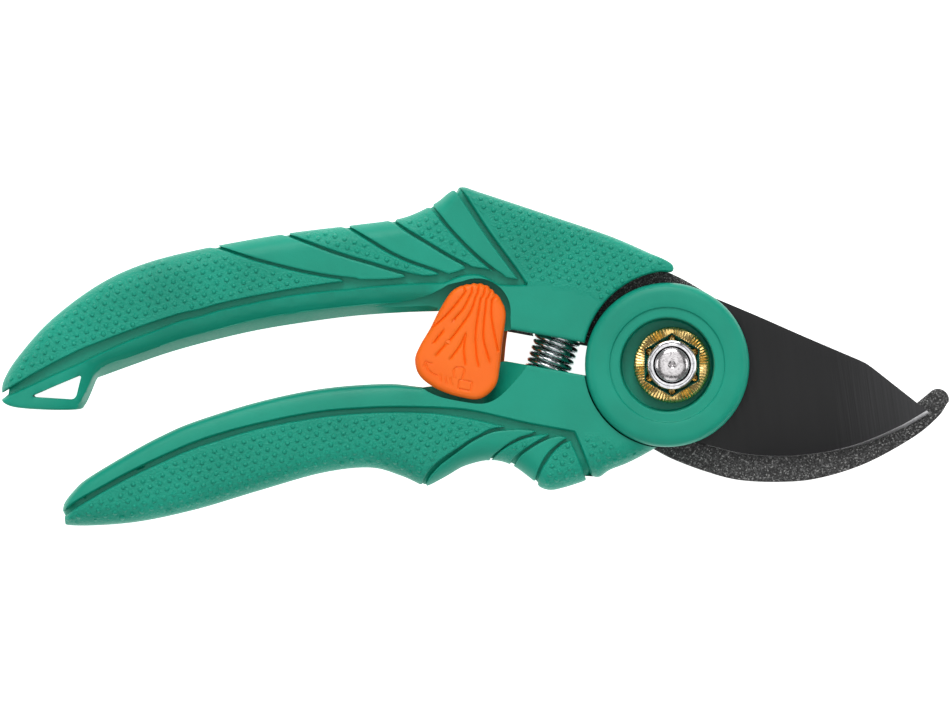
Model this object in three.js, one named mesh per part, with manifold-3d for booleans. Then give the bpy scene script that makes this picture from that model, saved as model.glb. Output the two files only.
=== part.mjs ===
// Bypass pruning shears, closed, lying on their back.
// Millimetres. +X points to the blade's tip, +Y to the upper handle, +Z out of the front face.
// The origin is on the pivot axis, on the flat underside of the pivot bolt's head.
//
// The upper handle carries the hook, the lower handle carries the blade. The blade and its handle
// turn together on the pivot bolt, in front of the hook. A thumb catch hangs on a pin in the upper
// handle, and its barb swings under a keeper pin in the lower handle.

import * as THREE from "three";
import { mergeVertices } from "three/addons/utils/BufferGeometryUtils.js";
import Module from "manifold-3d";

const wasm = await Module();
wasm.setup();

// ---- driving dimensions ----

const CLEARANCE = 0.3; // between faces that touch on the real object
const FLUSH = 0; // the back faces lie in this plane

// handles
const HANDLE_TOP = 18;
const MID = HANDLE_TOP / 2;
const EDGE_BEVEL = 1.2;
const GRIP_SKIN = 2.8; // wall of the soft overmould round the core's tongue
const REACH = 40; // how far a cutting outline runs past what it cuts

// steel plates, stacked on the pivot bolt
const HOOK_BOTTOM = 5;
const HOOK_TOP = 8.6;
const BLADE_BOTTOM = HOOK_TOP + CLEARANCE;
const BLADE_TOP = 12;
const BOSS_RADIUS = 17.5;

// hub
const HUB = [-1.1, 0]; // centre of the round cap, a little behind the pivot
const HUB_RADIUS = 18.6;
const HUB_BOTTOM = BLADE_TOP + CLEARANCE;
const HUB_TOP = 19.5;
const HUB_STEP_RADIUS = 13;
const HUB_STEP_Z = 18.9;
const HUB_RECESS_RADIUS = 10.65;
const HUB_MOAT_FLOOR = 13.2; // of the deep moat round the lock ring
const RING_SEAT_RADIUS = 8.7; // of the round seat that the lock ring lies on
const RING_SEAT_TOP = 15;
const HUB_ARC = { x: 0.45, y: 0.7, r: 20.67 }; // the upper handle's hollow round the hub
const HOOK_SWING = 24.5; // room behind the lower handle for the hook's boss and heel

// pivot hardware
const SHANK_RADIUS = 3.95;
const SHANK_END = 18.4;
const SHANK_TIP = 19.3;
const HEAD_RADIUS = 8;
const NUT_FLATS = 12.35;
const NUT_BASE_TOP = 16.2; // hexagon below, round collar above
const NUT_COLLAR_RADIUS = 5.6;
const NUT_TOP = 18.5;
const WASHER_RADIUS = 5.8;
const RING_RADIUS = 8.6;
const RING_TOP = 16.9;
const RUNNING = 0.15; // radial play of a plate that turns on its pin
const STEEL_PIN = 1.75;

// thumb catch
const CATCH = [-44.2, 11.9]; // its pin
const CATCH_SWING = 19.4; // how far its web reaches from that pin
const KEEPER = [-45, -3.6];
const KEEPER_RADIUS = 1.25;
const POCKET_DEPTH = 4; // the covers sink this far into the front and the back
const CHEEK_BOTTOM = POCKET_DEPTH + 0.4; // the two pins end inside the handles' cheeks
const CHEEK_TOP = HANDLE_TOP - CHEEK_BOTTOM;
const WEB_BOTTOM = 7;
const WEB_TOP = 11;
const POST = [-47.8, 1.9]; // joins the two covers through the web
const POST_RADIUS = 2.4;
const WEB_EYE_RADIUS = 5.8; // round the catch's pin
const WEB_EYE_ROOM = 6.4;
const SCREW_RADIUS = 1;
const SCREW_BOTTOM = 0.6;
const SCREW_END = 16.7;
const SCREW_HEAD_RADIUS = 2.3;
const SCREW_HEAD_TOP = 1.8;
const COVER_TOP = 18.6;

// spring
const SPRING_CENTRE = [-26.6, 2.6];
const SPRING_TILT = 15; // degrees from the Y axis
const SPRING_LENGTH = 15.4;
const SPRING_RADIUS = 4.6; // to the middle of the wire
const WIRE_RADIUS = 0.55;
const SPRING_TURNS = 10;

// ---- helpers ----

const radians = THREE.MathUtils.degToRad;
const turnX = new THREE.Matrix4().makeRotationX(Math.PI / 2);

/** A smooth curve through the points, as evenly spaced points. */
function through(points, steps) {
  const curve = new THREE.SplineCurve(points.map(([x, y]) => new THREE.Vector2(x, y)));
  return curve.getSpacedPoints(steps).map((p) => [p.x, p.y]);
}

/** Points on an arc, from one angle to another in degrees. */
function arc(x, y, r, from, to, steps) {
  return Array.from({ length: steps + 1 }, (_, i) => {
    const a = radians(from + ((to - from) * i) / steps);
    return [x + r * Math.cos(a), y + r * Math.sin(a)];
  });
}

/** The curve moved sideways; a positive distance is to the left of its direction. */
function beside(points, distance) {
  return points.map(([x, y], i) => {
    const [ax, ay] = points[Math.max(i - 1, 0)];
    const [bx, by] = points[Math.min(i + 1, points.length - 1)];
    const length = Math.hypot(bx - ax, by - ay);
    return [x - (distance * (by - ay)) / length, y + (distance * (bx - ax)) / length];
  });
}

/** A closed outline whose corners are rounded. */
function rounded(corners, radius) {
  return corners.flatMap((corner, i) => {
    const before = corners[(i + corners.length - 1) % corners.length];
    const after = corners[(i + 1) % corners.length];
    const towards = ([x, y]) => {
      const length = Math.hypot(x - corner[0], y - corner[1]);
      const share = radius / length;
      return new THREE.Vector2(corner[0] + share * (x - corner[0]), corner[1] + share * (y - corner[1]));
    };
    const tip = new THREE.Vector2(...corner);
    const bend = new THREE.QuadraticBezierCurve(towards(before), tip, towards(after));
    return bend.getPoints(4).map((p) => [p.x, p.y]);
  });
}

/** A closed geometry as a solid that can be cut and joined. */
function solid(geometry) {
  const bare = geometry.index ? geometry.toNonIndexed() : geometry.clone();
  bare.deleteAttribute("normal");
  bare.deleteAttribute("uv");
  const merged = mergeVertices(bare, 1e-4);
  const mesh = new wasm.Mesh({
    numProp: 3,
    vertProperties: new Float32Array(merged.attributes.position.array),
    triVerts: new Uint32Array(merged.index.array),
  });
  return new wasm.Manifold(mesh);
}

/** The outline as a plate from z0 to z1, with its edges bevelled if asked. */
function plate(outline, z0, z1, bevel = 0) {
  const shape = new THREE.Shape(outline.map(([x, y]) => new THREE.Vector2(x, y)));
  const geometry = new THREE.ExtrudeGeometry(shape, {
    depth: z1 - z0 - 2 * bevel,
    bevelEnabled: bevel > 0,
    bevelThickness: bevel,
    bevelSize: bevel,
    bevelOffset: -bevel,
    bevelSegments: 2,
  });
  return solid(geometry.translate(0, 0, z0 + bevel));
}

/** A round bar along Z. */
function bar([x, y], radius, z0, z1, sides = 24) {
  const geometry = new THREE.CylinderGeometry(radius, radius, z1 - z0, sides);
  return solid(geometry.applyMatrix4(turnX).translate(x, y, (z0 + z1) / 2));
}

/** A closed profile of [radius, z] points turned round an axis along Z. */
function turned(profile, [x, y] = [0, 0], sides = 48) {
  const points = profile.map(([r, z]) => new THREE.Vector2(r, z));
  return solid(new THREE.LatheGeometry(points, sides).applyMatrix4(turnX).translate(x, y, 0));
}

const join = (first, ...others) => others.reduce((whole, piece) => whole.add(piece), first);
const cut = (first, ...others) => others.reduce((whole, piece) => whole.subtract(piece), first);

const pruners = new THREE.Group();

/** Adds a finished solid to the object as one named mesh. */
function piece(name, body, [color, roughness, metalness]) {
  const { vertProperties, triVerts } = body.getMesh();
  const geometry = new THREE.BufferGeometry();
  geometry.setAttribute("position", new THREE.BufferAttribute(new Float32Array(vertProperties), 3));
  geometry.setIndex(new THREE.BufferAttribute(new Uint32Array(triVerts), 1));
  const material = new THREE.MeshStandardMaterial({ color, roughness, metalness });
  const mesh = new THREE.Mesh(geometry, material);
  mesh.name = name;
  pruners.add(mesh);
}

const nylon = ["#1f9478", 0.5, 0];
const softGrip = ["#259c80", 0.65, 0];
const orangeNylon = ["#fe7926", 0.45, 0];
const coatedBlade = ["#2b2c2e", 0.35, 0.4];
const coatedHook = ["#3f3f40", 0.75, 0.3];
const plainSteel = ["#a9abad", 0.3, 1];
const chrome = ["#d9dadc", 0.12, 1];
const brass = ["#c79a45", 0.35, 1];

// ---- outlines of the thumb catch ----

const coverOutline = through([
  [-39, 15.3], [-37.8, 12.7], [-37.7, 10.2], [-38.4, 5.1], [-39, -0.6], [-40, -4.8], [-43.3, -7.6],
  [-47.5, -7.4], [-53.1, -5.5], [-57.1, -2.5], [-58.2, 1.1], [-57.1, 4.3], [-54.8, 8.2],
  [-52.6, 12.5], [-49.7, 16.8], [-45.8, 18.4], [-42, 18.1], [-39, 15.3],
], 40).slice(0, -1);

// the hollow in the upper handle lets the covers swing down and to the left
const upperPocket = [
  [-36, 0], ...arc(...CATCH, 7.7, -8, 112, 10),
  [-50.6, 18.5], [-52.9, 17.2], [-56.3, 15.7], [-61, 14.6], [-67, 13.6], [-70, 11], [-70, 0],
];

const lowerPocket = [
  [-62, 6], [-56.8, -4.6], [-54.8, -6.3], [-50.3, -7.9], [-45.8, -8.6], [-42.5, -8.8],
  [-40.1, -8.1], [-37.3, -5.9], [-33.9, -2], [-32, 1], [-32, 6],
];

/** The same hollow cut into the front and the back of a handle. */
function pockets(outline) {
  return join(
    plate(outline, HANDLE_TOP - POCKET_DEPTH, REACH),
    plate(outline, -REACH, POCKET_DEPTH),
  );
}

// ---- spring and its seats ----

const tilt = radians(SPRING_TILT);
const springAxis = [-Math.sin(tilt), -Math.cos(tilt)]; // from the upper handle to the lower one

/** A point on the spring's axis, measured from the spring's middle. */
function onSpringAxis(along) {
  return [SPRING_CENTRE[0] + along * springAxis[0], SPRING_CENTRE[1] + along * springAxis[1]];
}

/** A round bar along the spring's axis, between two distances from its middle. */
function springBar(radius, from, to) {
  const geometry = new THREE.CylinderGeometry(radius, radius, to - from, 24);
  geometry.rotateZ(-tilt);
  const [x, y] = onSpringAxis((from + to) / 2);
  return solid(geometry.translate(x, y, MID));
}

const SEAT_RADIUS = SPRING_RADIUS + WIRE_RADIUS + 0.4;
const SEAT_FLOOR = SPRING_LENGTH / 2 + CLEARANCE;
const PEG_RADIUS = SPRING_RADIUS - WIRE_RADIUS - 0.7;
const PEG_LENGTH = 4;
const upperSeat = springBar(SEAT_RADIUS, -SEAT_FLOOR, 0);
const lowerSeat = springBar(SEAT_RADIUS, 0, SEAT_FLOOR);
const upperPeg = springBar(PEG_RADIUS, -SEAT_FLOOR - 1, -SEAT_FLOOR + PEG_LENGTH);
const lowerPeg = springBar(PEG_RADIUS, SEAT_FLOOR - PEG_LENGTH, SEAT_FLOOR + 1);

/** The compressed coil: a round wire carried along a helix whose axis lies in the handles' plane. */
function coil() {
  class Helix extends THREE.Curve {
    getPoint(t, target = new THREE.Vector3()) {
      const turn = 2 * Math.PI * SPRING_TURNS * t;
      const travel = SPRING_LENGTH - 2 * WIRE_RADIUS;
      const [x, y] = onSpringAxis((t - 0.5) * travel);
      const across = SPRING_RADIUS * Math.cos(turn);
      const up = SPRING_RADIUS * Math.sin(turn);
      return target.set(x + across * springAxis[1], y - across * springAxis[0], MID + up);
    }
  }
  const section = new THREE.Shape(arc(0, 0, WIRE_RADIUS, 0, 300, 5).map(([x, y]) => new THREE.Vector2(x, y)));
  return solid(new THREE.ExtrudeGeometry(section, {
    steps: 14 * SPRING_TURNS,
    bevelEnabled: false,
    extrudePath: new Helix(),
  }));
}

// ---- hook, with its boss and tang ----

const hookOutline = [
  ...through([[10.4, 14.9], [0.2, 20.6], [-10, 23.4], [-24, 27], [-45, 31], [-66, 27.5], [-82, 26]], 22),
  ...through([[-82, 22.5], [-66, 22.8], [-45, 23], [-31, 20.5], [-21.5, 13.5], [-17.2, 3]], 16),
  ...arc(0, 0, BOSS_RADIUS, 176, 236, 8),
  ...through([
    [-6.5, -17.6], [-4.1, -19.1], [0.5, -21.5], [7.7, -24.2], [15, -26.1], [24, -26.6],
    [33.1, -25.8], [44, -22.4], [54.8, -16.5], [60.5, -11.8], [62.7, -8.6],
  ], 24),
  ...arc(60.5, -7.9, 2.5, -15, 140, 7),
  ...through([
    [57, -7.6], [52, -11.4], [42, -15.6], [31, -17.6], [21, -16.4], [15.5, -11.5], [13.5, -3], [12.6, 7],
  ], 18),
];
const hookPlate = plate(hookOutline, HOOK_BOTTOM, HOOK_TOP);
const hookRoom = join(
  plate(beside(hookOutline.slice(0, 40), -CLEARANCE), HOOK_BOTTOM - CLEARANCE, HOOK_TOP + CLEARANCE),
  bar([0, 0], BOSS_RADIUS + CLEARANCE, HOOK_BOTTOM - CLEARANCE, REACH, 48),
);

// ---- blade, with its boss and tang ----

const bladeOutline = [
  ...through([
    [10.2, 15], [19.9, 10.9], [29, 6.8], [38.1, 2.8], [43.7, 0.2], [49.4, -4], [55.6, -8.8], [58.5, -10.9],
  ], 14),
  ...through([
    [58.5, -10.9], [51.7, -14.7], [42.6, -18.3], [33.5, -20.1], [24.5, -20.8], [15.4, -20.1],
    [6.3, -17.8], [2, -17.4],
  ], 18).slice(1),
  ...arc(0, 0, BOSS_RADIUS, 268, 240, 4),
  ...through([[-13, -16.8], [-28, -18.4], [-45, -17.5], [-66, -15]], 8),
  ...through([[-66, -12.5], [-45, -12], [-30, -10.5], [-22, -8.5], [-17, -4]], 8),
  ...arc(0, 0, BOSS_RADIUS, 188, 56, 18),
];
const bladePlate = plate(bladeOutline, BLADE_BOTTOM, BLADE_TOP);
const bladeRoom = plate([
  ...arc(0, 0, BOSS_RADIUS + CLEARANCE, 240, 548, 36),
  ...through([[-17.3, -3.6], [-22, -8.2], [-30, -10.2], [-45, -11.7], [-66.3, -12.2]], 8),
  ...through([[-66.3, -15.3], [-45, -17.8], [-28, -18.7], [-13, -17.1]], 8),
], BLADE_BOTTOM - CLEARANCE, BLADE_TOP + CLEARANCE);

// ---- pins that hold the tangs and the catch ----

const PIN_BOTTOM = 3.4;
const PIN_TOP = 14.6;
const pin = (place) => bar(place, STEEL_PIN, PIN_BOTTOM, PIN_TOP, 16);
const pinHole = (place) => bar(place, STEEL_PIN + CLEARANCE, PIN_BOTTOM - CLEARANCE, PIN_TOP + CLEARANCE, 16);

/** A steel plate with its pivot hole and the holes for the pins through its tang. */
function drilled(steel, pivotRadius, pins) {
  return cut(steel, bar([0, 0], pivotRadius, -REACH, REACH), ...pins.map(pinHole));
}

const hookPins = [[-29, 25], [-62, 25.4]];
const bladePins = [[-27, -14.2], [-56, -14]];

// ---- upper handle ----

const upperBack = through([
  [-152, -6.4], [-151.3, -3.2], [-148.2, 1.8], [-140.9, 10], [-130.1, 18.1], [-119.2, 23.1],
  [-104.7, 26.7], [-86.6, 29.9], [-72.1, 31.7], [-61.2, 33.3], [-53.9, 36.5], [-50.3, 39.2],
  [-47.4, 40.3], [-43.1, 39], [-28.6, 34.2], [-14, 29.2], [-4, 24.9],
], 60);
const nose = [0.2, 22];
const upperFront = through([
  [-52.6, 12.2], [-61.2, 11.9], [-72.1, 11.1], [-82.9, 9.7], [-93.8, 7.9], [-104.7, 5.4],
  [-115.6, 2.3], [-130.2, -2.9],
], 18);
const hangingLoop = [[-133.2, -9.1], [-134.6, -10.1], [-141, -10.2], [-148.2, -9.7], [-151.4, -8.6]];
const upperOutline = [
  ...upperBack,
  nose,
  ...arc(HUB_ARC.x, HUB_ARC.y, HUB_ARC.r, 100, 168, 12),
  [-36.3, 8], [-39, 7.4], [-44.2, 7.2], [-49.5, 9.2],
  ...upperFront,
  ...hangingLoop,
];
const loopHole = rounded([[-144.2, -7], [-134.3, -2.8], [-135.9, -7.8]], 0.9);

// the groove between the hard rim and the soft grip, and its turn up to the top of the handle
const upperGroove = through([
  [-156, -8.6], [-147.7, -4.8], [-134.1, 1.8], [-118.3, 8.4], [-102.4, 13.1], [-84.3, 16.8],
  [-66.2, 18.7], [-52.6, 19.3], [-46.7, 21.2], [-40.8, 20.8], [-37, 19.6],
], 28);
const upperGrooveTurn = through([[-34.6, 20.4], [-39, 26.3], [-45.8, 36.3], [-49.4, 41.5]], 6);

/** The part of the upper handle that the soft grip covers, kept clear of the groove by a gap. */
function upperGripArea(gap) {
  return [...beside([...upperGroove, ...upperGrooveTurn], gap), [-60, REACH + 20], [-156, REACH + 20]];
}

// the core runs on inside the grip as a tongue
const TONGUE_INSET = GRIP_SKIN + CLEARANCE;
const upperTongueTop = beside(upperBack.slice(4, 39), -TONGUE_INSET);
const upperTongueOutline = (gap) => [
  ...beside(upperTongueTop, gap), [-47.5, 36 + gap], [-43, 35.5 + gap], [-31, 20], [-31, 16],
  ...beside(upperGroove.slice(1, 24), -2).reverse(),
];

/** A tongue of the core, or the room for it with a gap all round, to the right of a start. */
function tongue(outline, start, gap) {
  const z0 = TONGUE_INSET - gap;
  const whole = plate(outline(gap), z0, HANDLE_TOP - z0);
  const right = [[start - gap, -REACH], [0, -REACH], [0, REACH], [start - gap, REACH]];
  return whole.intersect(plate(right, -REACH, REACH));
}

const UPPER_TONGUE_START = -138;

const upperBody = plate(upperOutline, FLUSH, HANDLE_TOP, EDGE_BEVEL);

const webSlot = [WEB_BOTTOM - CLEARANCE, WEB_TOP + CLEARANCE];
const upperWebRoom = join(
  bar(CATCH, WEB_EYE_ROOM, ...webSlot, 32),
  plate([[-62, 2], [-38, 2], [-38, 11.9], [-44.2, 12.5], [-50, 16], [-62, 13]], ...webSlot),
);

// a round boss behind the hook, joined to the handle by a neck
const BACK_BOSS_RADIUS = 17.2;
const BACK_BOSS_TOP = HOOK_BOTTOM - CLEARANCE;
const backBoss = join(
  bar([0, 0], BACK_BOSS_RADIUS, FLUSH, BACK_BOSS_TOP, 48),
  plate([[-14, 6], [-24, 14], [-14, 24], [-3, 23], [-1, 14]], FLUSH, BACK_BOSS_TOP),
);

function upperCore() {
  const rim = upperBody.subtract(plate(upperGripArea(-CLEARANCE), -REACH, REACH));
  const whole = join(rim, tongue(upperTongueOutline, UPPER_TONGUE_START, 0), backBoss);
  const open = cut(
    whole,
    plate(loopHole, -REACH, REACH),
    pockets(upperPocket),
    upperWebRoom,
    bar(CATCH, STEEL_PIN + CLEARANCE, -REACH, REACH, 16),
    upperSeat,
    hookRoom,
    bar([0, 0], HEAD_RADIUS + CLEARANCE, -REACH, REACH, 48),
    ...hookPins.map(pinHole),
  );
  return open.add(upperPeg);
}

piece("upper_core", upperCore(), nylon);
const upperGripBlock = upperBody.intersect(plate(upperGripArea(0), -REACH, REACH));
piece(
  "upper_grip",
  cut(upperGripBlock, tongue(upperTongueOutline, UPPER_TONGUE_START, CLEARANCE)),
  softGrip,
);
piece("hook", drilled(hookPlate, SHANK_RADIUS + RUNNING, hookPins), coatedHook);
hookPins.forEach((place, i) => piece(`hook_tang_pin_${i + 1}`, pin(place), plainSteel));
piece("catch_pin", bar(CATCH, STEEL_PIN, CHEEK_BOTTOM, CHEEK_TOP, 16), plainSteel);
piece("spring", coil(), plainSteel);

// ---- lower handle ----

const lowerTop = through([
  [-138.1, -33], [-137.4, -30.4], [-133.7, -25.6], [-122.8, -19.3], [-108.3, -12.9], [-93.8, -8.4],
  [-79.3, -5.4], [-64.8, -4.3], [-56.4, -5.3],
], 24);
const lowerBelly = through([
  [-18.4, -24.9], [-19.3, -26.1], [-26.5, -28.3], [-29.9, -27.7], [-31.4, -26.2], [-36.3, -22.7],
  [-41.2, -21.6], [-46.9, -22.9], [-55.3, -27.4], [-61.2, -25.2], [-68.4, -23.3], [-79.3, -24.5],
  [-93.8, -28.6], [-108.3, -32.9], [-122.8, -35.8], [-137, -36.3], [-138.1, -33.6],
], 60);
const lowerOutline = [
  ...lowerTop,
  [-49.5, -4.4], [-47, -2], [-45.4, -1.1], [-37.8, 0.9], [-19.5, -2.4], [-10, -2.4], [-2.4, -17.2],
  ...through([[-3.6, -18.8], [-6.8, -20.6], [-10.4, -22.4], [-14, -23.8], [-16.4, -25.5], [-18.2, -25.1]], 6),
  ...lowerBelly,
];

const lowerGroove = through([
  [-142, -36.4], [-134.1, -31.5], [-120.6, -24], [-107, -18.1], [-91.1, -13.7], [-77.5, -11.2],
  [-63.9, -10.5], [-54.8, -10.5], [-43.5, -12.2], [-30.6, -14.5], [-23, -15.9],
], 26);
const lowerGrooveTurn = through([[-21.8, -17], [-20.8, -19.3], [-18.6, -24.5], [-17.8, -28]], 5);

/** The part of the lower handle that the soft grip covers, kept clear of the groove by a gap. */
function lowerGripArea(gap) {
  return [...beside([...lowerGroove, ...lowerGrooveTurn], -gap), [-20, -REACH - 20], [-142, -REACH - 20]];
}

const lowerTongueBelly = beside(lowerBelly.slice(3, 54), -TONGUE_INSET);
const lowerTongueOutline = (gap) => [
  [-19, -16], [-19.5, -19], ...beside(lowerTongueBelly, gap), ...beside(lowerGroove.slice(1, 25), 2),
];
const LOWER_TONGUE_START = -126;

const lowerBody = cut(
  plate(lowerOutline, FLUSH, HANDLE_TOP, EDGE_BEVEL),
  bar(HUB, HUB_RADIUS + CLEARANCE, HUB_BOTTOM - CLEARANCE, REACH, 48),
  bar([0, 0], HOOK_SWING, -REACH, BLADE_BOTTOM - CLEARANCE / 2, 48),
);

function lowerCore() {
  const rim = lowerBody.subtract(plate(lowerGripArea(-CLEARANCE), -REACH, REACH));
  const whole = join(rim, tongue(lowerTongueOutline, LOWER_TONGUE_START, 0).intersect(lowerBody));
  const webRoom = bar(CATCH, CATCH_SWING, ...webSlot, 40)
    .intersect(plate([[-80, -20], [-42, -20], [-42, 20], [-80, 20]], -REACH, REACH));
  const open = cut(
    whole,
    pockets(lowerPocket),
    webRoom,
    bar(KEEPER, KEEPER_RADIUS + CLEARANCE, -REACH, REACH, 16),
    lowerSeat,
    bladeRoom,
    ...bladePins.map(pinHole),
  );
  return open.add(lowerPeg);
}

piece("lower_core", lowerCore(), nylon);
const lowerGripBlock = lowerBody.intersect(plate(lowerGripArea(0), -REACH, REACH));
piece(
  "lower_grip",
  cut(lowerGripBlock, tongue(lowerTongueOutline, LOWER_TONGUE_START, CLEARANCE)),
  softGrip,
);
piece("blade", drilled(bladePlate, SHANK_RADIUS + CLEARANCE, bladePins), coatedBlade);
bladePins.forEach((place, i) => piece(`blade_tang_pin_${i + 1}`, pin(place), plainSteel));
piece("keeper_pin", bar(KEEPER, KEEPER_RADIUS, CHEEK_BOTTOM, CHEEK_TOP, 16), plainSteel);

// ---- hub: cap, washer, bolt, nut and lock ring ----

const capShell = turned([
  [0, HUB_BOTTOM], [HUB_RADIUS, HUB_BOTTOM], [HUB_RADIUS, 17.6], [18.2, 18.7], [17.2, HUB_TOP - 0.15],
  [15.8, HUB_TOP], [13.6, HUB_TOP], [HUB_STEP_RADIUS, HUB_STEP_Z], [HUB_RECESS_RADIUS, HUB_STEP_Z - 0.3],
  [HUB_RECESS_RADIUS, HUB_MOAT_FLOOR], [0, HUB_MOAT_FLOOR],
], HUB, 56);
piece("hub_cap", cut(
  join(capShell, bar([0, 0], RING_SEAT_RADIUS, HUB_BOTTOM, RING_SEAT_TOP, 56)),
  bar([0, 0], WASHER_RADIUS + CLEARANCE, -REACH, REACH, 32),
), nylon);

piece("pivot_washer", cut(
  bar([0, 0], WASHER_RADIUS, HUB_BOTTOM, RING_SEAT_TOP, 32),
  bar([0, 0], SHANK_RADIUS + CLEARANCE, -REACH, REACH),
), plainSteel);

piece("pivot_bolt", turned([
  [0, FLUSH], [HEAD_RADIUS - 0.8, FLUSH], [HEAD_RADIUS, 0.8], [HEAD_RADIUS, HOOK_BOTTOM - CLEARANCE],
  [SHANK_RADIUS, HOOK_BOTTOM - CLEARANCE], [SHANK_RADIUS, SHANK_END], [3.2, SHANK_TIP - 0.2],
  [1.9, SHANK_TIP], [1.3, SHANK_TIP - 0.1], [0.9, SHANK_TIP - 0.8], [0, SHANK_TIP - 1],
], [0, 0], 32), plainSteel);

const nutCorner = NUT_FLATS / Math.sqrt(3);
const NUT_BOTTOM = RING_SEAT_TOP + CLEARANCE;
const hexagon = (corner) => arc(0, 0, corner, 90, 390, 5);
piece("pivot_nut", cut(
  join(
    plate(hexagon(nutCorner), NUT_BOTTOM, NUT_BASE_TOP),
    bar([0, 0], NUT_COLLAR_RADIUS, NUT_BOTTOM, NUT_TOP, 48),
  ),
  bar([0, 0], SHANK_RADIUS + CLEARANCE, -REACH, REACH),
), chrome);
piece("lock_ring", cut(
  bar([0, 0], RING_RADIUS, NUT_BOTTOM, RING_TOP, 36),
  plate(hexagon(nutCorner + CLEARANCE), -REACH, REACH),
), brass);

// ---- thumb catch: two covers, the steel web between them and their screw ----

const webOutline = [
  ...arc(...CATCH, WEB_EYE_RADIUS, -40, 200, 16),
  ...through([[-51.2, 5], [-52.7, -2.5], [-52.4, -4.6], [-50.6, -5.9], [-48.5, -6.4], [-46.7, -6.3]], 10),
  [-46.6, -5.4], [-48.2, -5.1],
  ...through([[-48.7, -4.2], [-48.4, 0], [-43.6, 5.8]], 5),
];
const screwHole = bar(POST, SCREW_RADIUS + CLEARANCE, -REACH, SCREW_END + CLEARANCE, 16);
const REAR_COVER_BOTTOM = 0.2;
const FRONT_COVER_BOTTOM = HANDLE_TOP - POCKET_DEPTH + 0.4;
const REAR_COVER_TOP = POCKET_DEPTH - 0.4;

piece("catch_front_cover", cut(
  join(
    plate(coverOutline, FRONT_COVER_BOTTOM, COVER_TOP, 0.9),
    bar(POST, POST_RADIUS, WEB_TOP + CLEARANCE, FRONT_COVER_BOTTOM + 1, 20),
  ),
  screwHole,
), orangeNylon);
piece("catch_rear_cover", cut(
  join(
    plate(coverOutline, REAR_COVER_BOTTOM, REAR_COVER_TOP, 0.9),
    bar(POST, POST_RADIUS, REAR_COVER_TOP - 1, WEB_BOTTOM - CLEARANCE, 20),
  ),
  screwHole,
  bar(POST, SCREW_HEAD_RADIUS + CLEARANCE, -REACH, SCREW_HEAD_TOP + CLEARANCE, 20),
), orangeNylon);
piece("catch_web", cut(
  plate(webOutline, WEB_BOTTOM, WEB_TOP),
  bar(CATCH, STEEL_PIN + RUNNING, -REACH, REACH, 16),
  bar(POST, SCREW_RADIUS + CLEARANCE, -REACH, REACH, 16),
), plainSteel);
piece("catch_screw", join(
  bar(POST, SCREW_RADIUS, SCREW_HEAD_TOP - 0.5, SCREW_END, 16),
  bar(POST, SCREW_HEAD_RADIUS, SCREW_BOTTOM, SCREW_HEAD_TOP, 20),
), plainSteel);

export default pruners;
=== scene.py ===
import math

import bpy
import numpy as np
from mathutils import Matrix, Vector
from mathutils.geometry import delaunay_2d_cdt


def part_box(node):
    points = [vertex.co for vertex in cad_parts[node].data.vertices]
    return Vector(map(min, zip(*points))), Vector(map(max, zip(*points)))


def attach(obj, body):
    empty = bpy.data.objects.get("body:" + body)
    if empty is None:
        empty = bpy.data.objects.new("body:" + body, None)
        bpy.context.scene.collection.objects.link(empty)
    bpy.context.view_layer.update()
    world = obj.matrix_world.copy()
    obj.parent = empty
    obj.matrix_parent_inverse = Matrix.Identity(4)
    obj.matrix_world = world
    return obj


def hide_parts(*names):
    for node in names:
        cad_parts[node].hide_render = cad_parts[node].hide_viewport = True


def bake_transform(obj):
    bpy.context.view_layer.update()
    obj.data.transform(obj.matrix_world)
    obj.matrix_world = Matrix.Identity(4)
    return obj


# Bypass pruning shears, closed and lying on their back. Lengths are millimetres in the CAD frame:
# +X to the blade's tip, +Y to the upper handle, +Z out of the front. build() turns them to metres.

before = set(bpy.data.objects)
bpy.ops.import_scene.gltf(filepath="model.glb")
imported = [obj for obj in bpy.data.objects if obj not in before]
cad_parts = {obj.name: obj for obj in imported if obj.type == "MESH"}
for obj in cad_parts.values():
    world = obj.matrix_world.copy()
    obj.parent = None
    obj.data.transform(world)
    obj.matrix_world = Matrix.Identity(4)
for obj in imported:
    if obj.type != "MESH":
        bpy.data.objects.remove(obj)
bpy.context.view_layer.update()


# ==== upper handle: hard core ====
# Glass-filled nylon, injection moulded round the hook's tang. It is the rim that faces the lower
# handle, the hanging loop, the hollow for the catch and the whole front end beside the hub.

MILLIMETRE = 0.001


def cad_span(node):
    """Lowest, middle and highest corner of a CAD node's box, to a thousandth of a millimetre."""
    low, high = np.array(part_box(node)) / MILLIMETRE
    return np.round([low, (low + high) / 2, high], 3)


_, MIDDLE, HANDLE_TOP = cad_span("upper_core")[:, 2]  # z of the parting plane and of the front
HALF = HANDLE_TOP - MIDDLE


def curve(points, spacing=0.5):
    """A Catmull-Rom curve through the points, resampled at an even spacing."""
    p = np.asarray(points, float)
    p = np.vstack([2 * p[0] - p[1], p, 2 * p[-1] - p[-2]])
    a, b, c, d = p[:-3], p[1:-2], p[2:-1], p[3:]
    t = np.linspace(0, 1, 24, endpoint=False)[:, None, None]
    bend = 2 * b + (c - a) * t + (2 * a - 5 * b + 4 * c - d) * t**2 + (3 * b - a - 3 * c + d) * t**3
    fine = np.vstack([0.5 * bend.transpose(1, 0, 2).reshape(-1, 2), p[-2]])
    return even(fine, spacing)


def even(line, spacing=0.5):
    """The same line with its points an even spacing apart, measured along it."""
    line = np.asarray(line, float)
    along = np.r_[0, np.cumsum(np.hypot(*np.diff(line, axis=0).T))]
    s = np.linspace(0, along[-1], max(2, round(along[-1] / spacing) + 1))
    return np.c_[np.interp(s, along, line[:, 0]), np.interp(s, along, line[:, 1])]


def closed(line):
    """The line with its first point again at the end."""
    return np.vstack([line, line[:1]])


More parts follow.
